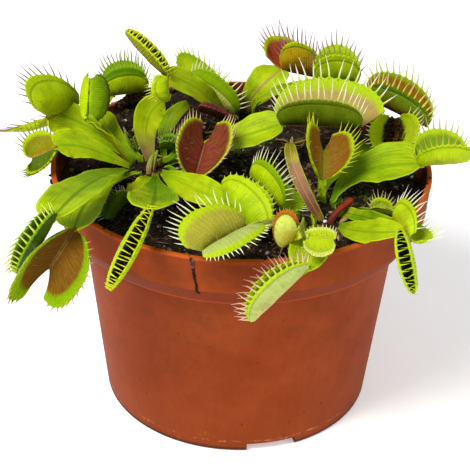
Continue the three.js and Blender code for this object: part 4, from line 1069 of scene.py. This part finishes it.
def soil_finish():
    """Damp peat: near-black brown with brown and tan crumbs."""
    f = Finish("peat", Specular_IOR_Level=0.2)
    lumps, grain = f.noise(2.6, 6, 0.7), f.noise(0.7, 6, 0.7)
    colour = f.mix(f.between(0.42, 0.66, lumps), PEAT_DARK, PEAT)
    colour = f.mix(f.between(0.58, 0.74, grain) * 0.6, colour, PEAT_LIGHT)
    return f.done(colour, 0.75 + grain * 0.2, lumps * 0.6 + grain * 0.6, 0.7)


def litter_finish(name, rough, **fixed):
    """Crumbs, fibres and moss: each scrap's own painted colour, with a fine grain."""
    f = Finish(name, **fixed)
    grain = f.noise(0.5, 4, 0.7)
    return f.done(f.shade(f.painted("tint"), 0.65 + grain * 0.7), rough + grain * 0.1, grain, 0.2)


# ---- The pot ----

POT_SEGMENTS, CORNER_EASE = 240, 0.6
POT_PROFILE = [  # radius and height, from the middle of the underside, up outside, down inside
    (0, 0), (20, 0), (21, 2.4), (38.5, 2.4), (39.3, 0), (43.7, 0), (50.5, 63), (55.2, 63.4), (58.6, 69),
    (59, 69.4), (59.7, 79.6), (60, 80.4), (59.5, 81), (58.2, 81), (57, 70), (53.8, 65.6), (49, 62.4),
    (42.1, 4), (20.6, 4), (19.6, 1.6), (0, 1.6),
]
POT_COLOUR, POT_SHADE = hexed("8c3c16"), hexed("7c300e")
POT_WARM, POT_SCUFF, POT_STAIN = hexed("90441a"), hexed("b87c58"), hexed("4a2a12")
# the ledge colour is painted shade
# the lip colour is a painted highlight
POT_LIP_HIGHLIGHT, POT_LEDGE_SHADE = hexed("b8561a"), hexed("6e2a0c")
HOLES, HOLE_RADIUS, HOLE_CIRCLE = 6, 3.5, 29
DRILL_LENGTH, DRILL_HEIGHT = 12, 3  # of the rods that cut the holes, and where their middles are
NOTCHES, NOTCH_WIDTH, NOTCH_HEIGHT, FIRST_NOTCH = 3, 16, 2.8, -74
FOOT_RING, FOOT_RING_DEPTH = 41.1, 9.2  # where the notches' blocks stand, and their size outward


def rounded(profile, radius, steps=4):
    """A profile whose corners are eased: each is replaced by a short parabola that starts and ends
    on its two sides, radius away from the corner or a third of the side, if that is less."""
    points = np.array(profile, float)
    out = [points[:1]]
    for before, corner, after in zip(points[:-2], points[1:-1], points[2:]):
        into, away = before - corner, after - corner
        a = corner + unit(into) * min(radius, np.linalg.norm(into) / 3)
        b = corner + unit(away) * min(radius, np.linalg.norm(away) / 3)
        t = np.linspace(0, 1, steps)[:, None]
        out.append((1 - t) ** 2 * a + 2 * t * (1 - t) * corner + t ** 2 * b)
    out.append(points[-1:])
    return np.concatenate(out)


def turned_faces(rings, segments):
    """Quads between rings of points that lie one after another, and a fan from the first and the last
    ring to the two points that follow them all."""
    i, k = np.meshgrid(np.arange(rings - 1), np.arange(segments), indexing="ij")
    nxt = (k + 1) % segments
    quads = np.stack([i * segments + k, i * segments + nxt, (i + 1) * segments + nxt,
                      (i + 1) * segments + k], -1).reshape(-1, 4)
    k = np.arange(segments)
    last, centre = (rings - 1) * segments, rings * segments
    return [quads, np.stack([(k + 1) % segments, k, 0 * k + centre], -1),
            np.stack([last + k, last + (k + 1) % segments, 0 * k + centre + 1], -1)]


def lathe(profile, segments):
    """Points and faces of a profile turned round the axis: rings joined by quads, ends closed by fans."""
    turn = np.arange(segments) / segments * 2 * np.pi
    r, z = profile[1:-1].T
    ring = np.stack([r[:, None] * np.cos(turn), r[:, None] * np.sin(turn), z[:, None] + 0 * turn], -1)
    points = np.concatenate([ring.reshape(-1, 3), [[0, 0, profile[0, 1]], [0, 0, profile[-1, 1]]]])
    return points, turned_faces(len(r), segments)


def cutters():
    """Upright rods for the drain holes and blocks for the notches in the foot ring, as one mesh."""
    shell = bmesh.new()
    for i in range(HOLES):
        a = 2 * np.pi * i / HOLES
        x, y = HOLE_CIRCLE * math.cos(a) * MM, HOLE_CIRCLE * math.sin(a) * MM
        place = Matrix.Translation((x, y, DRILL_HEIGHT * MM))
        bmesh.ops.create_cone(shell, cap_ends=True, segments=28, radius1=HOLE_RADIUS * MM,
                              radius2=HOLE_RADIUS * MM, depth=DRILL_LENGTH * MM, matrix=place)
    for i in range(NOTCHES):
        a = math.radians(FIRST_NOTCH + 360 * i / NOTCHES)
        size = Matrix.Diagonal((FOOT_RING_DEPTH * MM, NOTCH_WIDTH * MM, 2 * NOTCH_HEIGHT * MM, 1))
        place = Matrix.Rotation(a, 4, "Z") @ Matrix.Translation((FOOT_RING * MM, 0, 0)) @ size
        bmesh.ops.create_cube(shell, size=1, matrix=place)
    mesh = bpy.data.meshes.new("cutters")
    shell.to_mesh(mesh)
    shell.free()
    return add_object("cutters", mesh)


def make_pot(finish):
    """The pot: the profile turned round the axis, less the drain holes and the foot's notches."""
    points, faces = lathe(rounded(POT_PROFILE, CORNER_EASE), POT_SEGMENTS)
    mesh = bpy.data.meshes.new("pot_shell")
    mesh.from_pydata((points * MM).tolist(), [], [f for block in faces for f in block.tolist()])
    face_outward(mesh)
    rough = add_object("pot_shell", mesh)
    tool = cutters()
    cut = rough.modifiers.new("cut", "BOOLEAN")
    cut.operation, cut.object, cut.solver = "DIFFERENCE", tool, "EXACT"
    seen = rough.evaluated_get(bpy.context.evaluated_depsgraph_get())
    final = bpy.data.meshes.new_from_object(seen)
    final.name = "pot_plastic"
    for thing in (rough, tool):
        bpy.data.objects.remove(thing)
    final.materials.clear()
    final.materials.append(finish)
    final.polygons.foreach_set("use_smooth", np.ones(len(final.polygons), bool))
    final.set_sharp_from_angle(angle=math.radians(38))
    pot = add_object("pot_plastic", final)
    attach(pot, "root")
    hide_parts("pot")
    return pot


# ---- The soil ----

HEAP_TURN, HEAP_SPREAD, HEAP_HEIGHT = 122, 32, 6.2  # degrees from +X, degrees, millimetres
SOIL_SEGMENTS, SOIL_RINGS = 300, 84
HEAP_LEAN = 0.0019  # share of its radius that the heap's rim leans out by, per millimetre of height
SOIL_SIDE = [(0, 4.3), (41.8, 4.3), (48.7, 62.4), (53.5, 65.6), (56.7, 70)]
PEAT_DARK, PEAT, PEAT_LIGHT = hexed("19110a"), hexed("33241a"), hexed("6e5238")


def soil_surface(x, y):
    """The soil's height with its lumps: the low waves, three sizes of noise, flatter at the wall, and
    a heap against the wall behind the left rosette."""
    sizes = ((0.9, 6, 1), (0.55, 2.6, 2), (0.28, 1.1, 3))  # height, width and seed
    lumps = sum(height * lattice(x + 90, y + 90, width, seed) for height, width, seed in sizes)
    out = np.hypot(x, y)
    calm = 0.35 + 0.65 * smooth(0, 5, SOIL_EDGE - out)
    away = (np.degrees(np.arctan2(y, x)) - HEAP_TURN) / HEAP_SPREAD
    heap = HEAP_HEIGHT * smooth(30, 55, out) * np.exp(-away ** 2)
    return soil_height(x, y) + (lumps + 0.25) * calm + heap


def make_soil(finish):
    """A filled block: a lumpy top in rings from the middle to the wall, the wall's side, a flat bottom."""
    turn = np.arange(SOIL_SEGMENTS) / SOIL_SEGMENTS * 2 * np.pi
    r = SOIL_EDGE * np.linspace(0.005, 1, SOIL_RINGS) ** 0.9
    x, y = r[:, None] * np.cos(turn), r[:, None] * np.sin(turn)
    top = np.stack([x, y, soil_surface(x, y)], -1)
    heaped = np.maximum(top[..., 2:] - SOIL_TOP, 0)
    top[..., :2] *= 1 + HEAP_LEAN * heaped * (r / SOIL_EDGE)[:, None, None] ** 8
    low = np.array(SOIL_SIDE[1:][::-1])
    side = np.stack([low[:, :1] * np.cos(turn), low[:, :1] * np.sin(turn), low[:, 1:] + 0 * turn], -1)
    rings = np.concatenate([top, side])
    body = Body()
    middle = np.array([[0, 0, soil_surface(np.zeros(1), np.zeros(1))[0]], [0, 0, SOIL_SIDE[0][1]]])
    body.add(np.concatenate([rings.reshape(-1, 3), middle]), turned_faces(len(rings), SOIL_SEGMENTS),
             [0, 0, 0], (0, 0), PEAT)
    piece = body.piece("peat_fill", [finish])
    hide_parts("soil")
    return piece


def icosahedron():
    """Corners and faces of a regular icosahedron of radius one."""
    g = (1 + 5 ** 0.5) / 2
    corners = [(s, t * g, 0) for s in (-1, 1) for t in (-1, 1)]
    corners = np.array([np.roll(c, k) for c in corners for k in range(3)], float)
    gaps = np.linalg.norm(corners[:, None] - corners[None], axis=-1)
    near = (gaps > 0) & (gaps < 2.01)  # an edge is 2 long
    faces = [(a, b, c) for a in range(12) for b in range(a + 1, 12) for c in range(b + 1, 12)
             if near[a, b] and near[b, c] and near[a, c]]
    corners = unit(corners)
    out = []
    for a, b, c in faces:
        normal = np.cross(corners[b] - corners[a], corners[c] - corners[a])
        out.append((a, b, c) if normal @ corners[a] > 0 else (a, c, b))
    return corners, np.array(out)


def spots(count, random, outer=SOIL_EDGE - 1):
    """Evenly scattered places on the soil, within a radius."""
    r = np.sqrt(random.uniform(0, 1, count)) * outer
    a = random.uniform(0, 2 * np.pi, count)
    return np.stack([r * np.cos(a), r * np.sin(a)], -1)


def scatter_lumps(body, where, sizes, colours, random, squash=0.7, sink=0.35):
    """A knobbly lump at each place: an icosahedron whose corners are pulled in and out at random,
    turned at random, flattened a little and sunk into what it lies on."""
    corners, faces = icosahedron()
    count = len(where)
    shape = corners[None] * random.uniform(0.6, 1.25, (count, 12, 1))
    turn = unit(random.normal(size=(count, 3)))
    other = unit(np.cross(turn, unit(random.normal(size=(count, 3)))))
    third = np.cross(turn, other)
    axes = np.stack([turn, other * random.uniform(0.55, 1, (count, 1)), third], 1)
    shape = np.einsum("nij,njk->nik", shape, axes) * sizes[:, None, None]
    shape[..., 2] *= squash
    points = shape + where[:, None] + np.array([0, 0, 1]) * (sizes * (0.5 - sink))[:, None, None]
    index = (faces[None] + np.arange(count)[:, None, None] * 12).reshape(-1, 3)
    body.add(points.reshape(-1, 3), [index], [0], (0, 0), np.repeat(colours, 12, axis=0))


def gathered(patches, count, spread, random):
    """Places scattered about patches, each given by its x, y and width."""
    which = random.integers(0, len(patches), count)
    return patches[which, :2] + random.normal(0, 1, (count, 2)) * patches[which, 2:] * spread


def on_soil(flat):
    """Flat places raised to the soil's surface."""
    return np.column_stack([flat, soil_surface(flat[:, 0], flat[:, 1])])


def make_crumbs(finish):
    """Peat crumbs of many sizes over the soil, dark to tan, a few of them pale."""
    random = np.random.default_rng(11)
    body = Body()
    count = 3600
    where = on_soil(spots(count, random))
    sizes = np.clip(random.lognormal(-0.75, 0.5, count), 0.2, 1.5)
    share = random.uniform(0, 1, (count, 1)) ** 2.2
    pale = random.uniform(0, 1, (count, 1)) < 0.07
    colours = np.where(pale, hexed("a3937e"), blend(PEAT_DARK, hexed("7a5b3d"), share))
    scatter_lumps(body, where, sizes, colours, random)
    piece = body.piece("peat_crumbs", [finish], recalculate=False)
    return piece


STREAK_TURN, STREAK_TOP, STREAK_LENGTH = -102.9, 80.7, 12.4  # degrees from +X, millimetres
SPILL_TURN, SPILL_SPREAD = 198, 6  # degrees from +X, degrees
BANK_TURN, BANK_SPREAD, BANK_HEIGHT = 128, 5, 3.4  # degrees from +X, degrees, millimetres
LIP_TOP = 81.1


def pot_side(height):
    """The pot's outside radius at a height above the ledge."""
    radius, level = np.array(POT_PROFILE[6:14]).T  # from the wall's top to the top of the lip
    return np.interp(height, level, radius)


def round_pot(turn, reach, height):
    """Places at a turn about the pot's axis, a reach from it and a height."""
    return np.column_stack([reach * np.cos(turn), reach * np.sin(turn), height])


def add_streak(body, random):
    """A narrow streak of mud that ran down the front of the collar, dry and pale at its top."""
    count = 110
    along = np.linspace(0, 1, count)
    turn = math.radians(STREAK_TURN) + random.normal(0, 0.0035, count) + 0.03 * along
    height = STREAK_TOP - STREAK_LENGTH * along
    where = round_pot(turn, pot_side(height) + 0.05, height)
    sizes = random.uniform(0.26, 0.46, count) * (1 - 0.3 * along)
    dry = smooth(0, 0.06, 0.3 - along)[:, None] * random.uniform(0, 1, (count, 1))
    scatter_lumps(body, where, sizes, blend(hexed("2a150c"), hexed("7a5a50"), dry), random, 1.6, 0.5)


def add_spills(body, random):
    """Crumbs that cling to the left side of the collar, and fine ones spilt all round the lip."""
    clinging, spilt = 26, 90
    turn = np.concatenate([np.radians(random.normal(SPILL_TURN, SPILL_SPREAD, clinging)),
                           random.uniform(0, 2 * np.pi, spilt)])
    height = np.concatenate([random.uniform(73, 80.5, clinging), np.full(spilt, LIP_TOP)])
    reach = np.concatenate([pot_side(height[:clinging]) + 0.1, random.uniform(57.6, 59.4, spilt)])
    coarse = random.uniform(0.4, 1.1, clinging)
    fine = np.clip(random.lognormal(-1.4, 0.5, spilt), 0.12, 0.6)
    where = round_pot(turn, reach, height)
    scatter_lumps(body, where, np.concatenate([coarse, fine]), PEAT_DARK + 0 * where, random)


def add_bank(body, random):
    """A bank of crumbs heaped over the lip behind the left rosette, highest in its middle."""
    count = 420
    across, turn = random.normal(0, 1, count), random.normal(BANK_TURN, BANK_SPREAD, count)
    rise = np.exp(-((turn - BANK_TURN) / (BANK_SPREAD + 2)) ** 2) * np.exp(-across ** 2)
    height = 80.2 + random.uniform(0, BANK_HEIGHT, count) * rise
    where = round_pot(np.radians(turn), WALL + across, height)
    colours = blend(PEAT_DARK, PEAT_LIGHT, random.uniform(0, 1, (count, 1)) ** 2)
    scatter_lumps(body, where, random.uniform(0.4, 1.0, count), colours, random)


def make_smears(finish):
    """The mud and crumbs that lie on the pot itself."""
    random = np.random.default_rng(21)
    body = Body()
    add_streak(body, random)
    add_spills(body, random)
    add_bank(body, random)
    piece = body.piece("mud_smears", [finish], recalculate=False)
    return piece


def make_moss(finish):
    """Tufts of moss: short pointed shoots that spread from a few places on the soil."""
    random = np.random.default_rng(31)
    patches = np.array([(-2, 17, 4), (2, 12, 4), (6, 11, 4), (32, -14, 4), (38, -8, 4), (-46, 20, 3),
                        (8, 27, 4), (-20, -16, 4), (18, 26, 3)], float)
    tufts, shoots = 150, 8
    foot = np.repeat(on_soil(gathered(patches, tufts, 0.55, random)), shoots, axis=0)
    count = len(foot)
    heading = unit(np.column_stack([random.normal(0, 0.7, (count, 2)), np.ones(count)]))
    s = np.linspace(0, 1, 4)
    length = random.uniform(0.7, 2.0, count)
    path = foot[:, None] + heading[:, None] * (length[:, None] * s)[..., None]
    radii = random.uniform(0.12, 0.24, count)[:, None] * (1 - 0.85 * s ** 2)
    share = random.uniform(0, 1, (count, 1, 1))
    tint = blend(linear("moss"), linear("dark"), share) + 0 * path
    body = Body()
    body.rods(path, radii, 4, 0, tint, np.broadcast_to([0.2, 1, 0.1], (count, 3)))
    piece = body.piece("moss_tufts", [finish])
    return piece


def make_litter(finish):
    """Dead bits of leaf and stalk, straw-coloured to brown, between the rosettes."""
    random = np.random.default_rng(41)
    count = 90
    heaps = np.array([(-19, -13, 3), (16.5, 24, 3.5), (8, -42, 7), (-8, 30, 4), (24, -8, 4),
                      (-30, 14, 3)], float)
    flat = gathered(heaps, count, 0.5, random)
    turn = random.uniform(0, 2 * np.pi, count)
    s = np.linspace(-0.5, 0.5, 6)
    length = random.uniform(2, 7, count)
    heading = np.stack([np.cos(turn), np.sin(turn)], -1)
    ground = flat[:, None] + heading[:, None] * (length[:, None] * s)[..., None]
    ground *= np.minimum(1, (SOIL_EDGE - 1) / np.linalg.norm(ground, axis=-1, keepdims=True))
    height = soil_surface(ground[..., 0], ground[..., 1]) + random.uniform(0.2, 1.6, (count, 1))
    path = np.concatenate([ground, (height + random.normal(0, 0.5, (count, 1)) * s)[..., None]], -1)
    radii = random.uniform(0.15, 0.42, (count, 1)) * (1 - 1.2 * s ** 2)
    share = random.uniform(0, 1, (count, 1, 1)) ** 1.5
    tint = blend(hexed("4a2f18"), hexed("a98a55"), share) + 0 * path
    body = Body()
    body.rods(path, radii, 6, 0, tint, np.broadcast_to([0, 0, 1.0], (count, 3)))
    piece = body.piece("dead_leaf_bits", [finish])
    return piece


def make_perlite(finish):
    """A few white perlite grains over the soil."""
    random = np.random.default_rng(5)
    body = Body()
    count = 16
    where = on_soil(spots(count, random))
    sizes = random.uniform(0.35, 0.9, count)
    colours = hexed("e8e4da") * random.uniform(0.8, 1, (count, 1))
    scatter_lumps(body, where, sizes, colours, random, 0.85, 0.2)
    piece = body.piece("perlite_grains", [finish], recalculate=False)
    return piece


def make_fibres(finish):
    """Peat fibres and straw: thin bent rods that lie on the soil and dip into it at both ends."""
    random = np.random.default_rng(8)
    count = 420
    flat = spots(count, random, outer=SOIL_EDGE - 4)
    heading = random.uniform(0, 2 * np.pi, count)
    length = random.uniform(2.5, 9, count)
    bend = random.normal(0, 0.35, count)
    s = np.linspace(-0.5, 0.5, 7)
    angle = heading[:, None] + bend[:, None] * s * 3
    step = np.stack([np.cos(angle), np.sin(angle)], -1) * (length / 7)[:, None, None]
    ground = flat[:, None] + np.cumsum(step, axis=1) - step.sum(axis=1, keepdims=True) / 2
    ground *= np.minimum(1, (SOIL_EDGE - 0.8) / np.linalg.norm(ground, axis=-1, keepdims=True))
    height = soil_surface(ground[..., 0], ground[..., 1])
    lift = random.uniform(0.1, 1.3, count)[:, None] * (1 - 4 * s ** 2) + 0.15
    path = np.concatenate([ground, (height + lift)[..., None]], -1)
    radii = random.uniform(0.07, 0.16, count)[:, None] * (1 - 1.6 * s ** 2)
    share = random.uniform(0, 1, (count, 1, 1)) ** 2
    tint = blend(hexed("2c1d13"), hexed("8f6d45"), share) + 0 * path
    body = Body()
    body.rods(path, radii, 4, 0, tint, np.broadcast_to([0, 0, 1.0], (count, 3)))
    piece = body.piece("peat_fibres", [finish])
    return piece


def make_stems(name, group, finish):
    """Round stems: straight up out of the soil, then along a quadratic curve to the tip."""
    body = Body()
    first, last = (linear(c) for c in group["colours"].split())
    for row in group["stems"]:
        x, y = row["foot"]
        tip = np.array(row["tip"], float)
        foot = np.array([x, y, SOIL_TOP + 0.5])
        over = foot + [0, 0, (tip[2] - foot[2]) / 2]
        t = np.linspace(0, 1, 14)[:, None]
        curve = (1 - t) ** 2 * foot + 2 * t * (1 - t) * over + t ** 2 * tip
        path = np.concatenate([[[x, y, SOIL_TOP - ROOT_DEPTH]], [[x, y, SOIL_TOP - 1.5]], curve])
        along = np.concatenate([[0, 0.05], np.linspace(0.1, 1, 14)])
        radii = np.interp(along, np.linspace(0, 1, 4), row["radii"])
        end = unit(path[-1] - path[-2]) * radii[-1] * 0.35
        path = np.concatenate([path, [path[-1] + end]])
        radii = np.append(radii, radii[-1] * 0.75)
        tint = blend(first, last, np.append(along, 1)[:, None])[None]
        body.rods(path[None], radii[None], 16, 0, tint, np.array([[0.3, 1, 0.1]]))
    piece = body.piece(name + "_grown", [finish])
    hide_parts(name)
    return piece


# ---- Putting it together ----

finishes = [blade_finish(), lobe_outside_finish(), lobe_inside_finish(), tooth_finish()]
for number, leaf in enumerate(LEAVES):
    leaf["seed"] = 100 + number
    make_leaf(leaf, finishes)

stem_material = stem_finish()
for name, group in STEMS.items():
    make_stems(name, group, stem_material)

make_pot(pot_finish())
make_soil(soil_finish())
make_crumbs(litter_finish("peat_crumb", 0.8, Specular_IOR_Level=0.15))
make_perlite(litter_finish("perlite", 0.8, Specular_IOR_Level=0.3))
make_fibres(litter_finish("peat_fibre", 0.7, Specular_IOR_Level=0.2))
make_smears(litter_finish("mud", 0.7, Specular_IOR_Level=0.1))
make_moss(litter_finish("moss", 0.6, Specular_IOR_Level=0.15))
make_litter(litter_finish("dead_leaf", 0.6, Specular_IOR_Level=0.2))


# ---- Floor, light and camera ----


def floor_finish():
    """Plain pale studio floor."""
    f = Finish("studio_floor", Specular_IOR_Level=0.1, Roughness=0.9, Emission_Color=(1, 1, 1, 1),
               Emission_Strength=0.36)
    return f.done(f.mix(f.noise(90) * 0.3, (0.93, 0.93, 0.93), (0.9, 0.9, 0.9)))


def make_floor():
    """A wide flat floor just under the pot."""
    mesh = bpy.data.meshes.new("floor")
    reach, gap = 3, 0.0002  # metres
    corners = [(x * reach, y * reach, -gap) for x, y in ((-1, -1), (1, -1), (1, 1), (-1, 1))]
    mesh.from_pydata(corners, [], [(0, 1, 2, 3)])
    mesh.materials.append(floor_finish())
    add_object("floor", mesh)


def set_square(right, above, back, place):
    """The matrix that stands a lamp or camera at a place: its own X, Y and Z as given."""
    return Matrix([[right[i], above[i], back[i], place[i]] for i in range(3)] + [[0, 0, 0, 1]])


def make_lamp(name, place, aim, size, power):
    """A square soft light that faces a point."""
    lamp = bpy.data.lights.new(name, "AREA")
    lamp.size, lamp.energy = size, power
    back = unit(np.array(place, float) - np.array(aim, float))
    right = unit(np.cross([0, 0, 1.0], back))
    thing = add_object(name, lamp)
    thing.matrix_world = set_square(right, np.cross(back, right), back, place)


def make_camera():
    """The camera: in front and above, looking down at the pot through a long lens, rolled a little."""
    place = np.array([0.58, -407.74, 298.12]) * MM
    yaw, pitch, roll = math.radians(-0.29), math.radians(30.93), 0.0258
    flat = math.cos(pitch)
    ahead = np.array([math.sin(yaw) * flat, math.cos(yaw) * flat, -math.sin(pitch)])
    right = unit(np.cross(ahead, [0, 0, 1.0]))
    above = np.cross(right, ahead)
    x = right * math.cos(roll) + above * math.sin(roll)
    y = above * math.cos(roll) - right * math.sin(roll)
    camera = add_object("camera", bpy.data.cameras.new("camera"))
    camera.data.sensor_width, camera.data.lens, camera.data.clip_start = 36, 111.97, 0.01
    camera.matrix_world = set_square(x, y, -ahead, place)
    bpy.context.scene.camera = camera


make_floor()
make_lamp("key", place=(-0.4, -0.45, 0.8), aim=(0, 0, 0.07), size=0.34, power=10.6)
make_lamp("fill", place=(0.7, -0.45, 0.35), aim=(0, 0, 0.06), size=0.6, power=2.5)
make_camera()

world = bpy.data.worlds.new("studio")
world.use_nodes = True
sky = world.node_tree.nodes["Background"]
sky.inputs["Color"].default_value = (1, 1, 1, 1)
sky.inputs["Strength"].default_value = 0.35
bpy.context.scene.world = world
bpy.context.scene.view_settings.view_transform = "Standard"
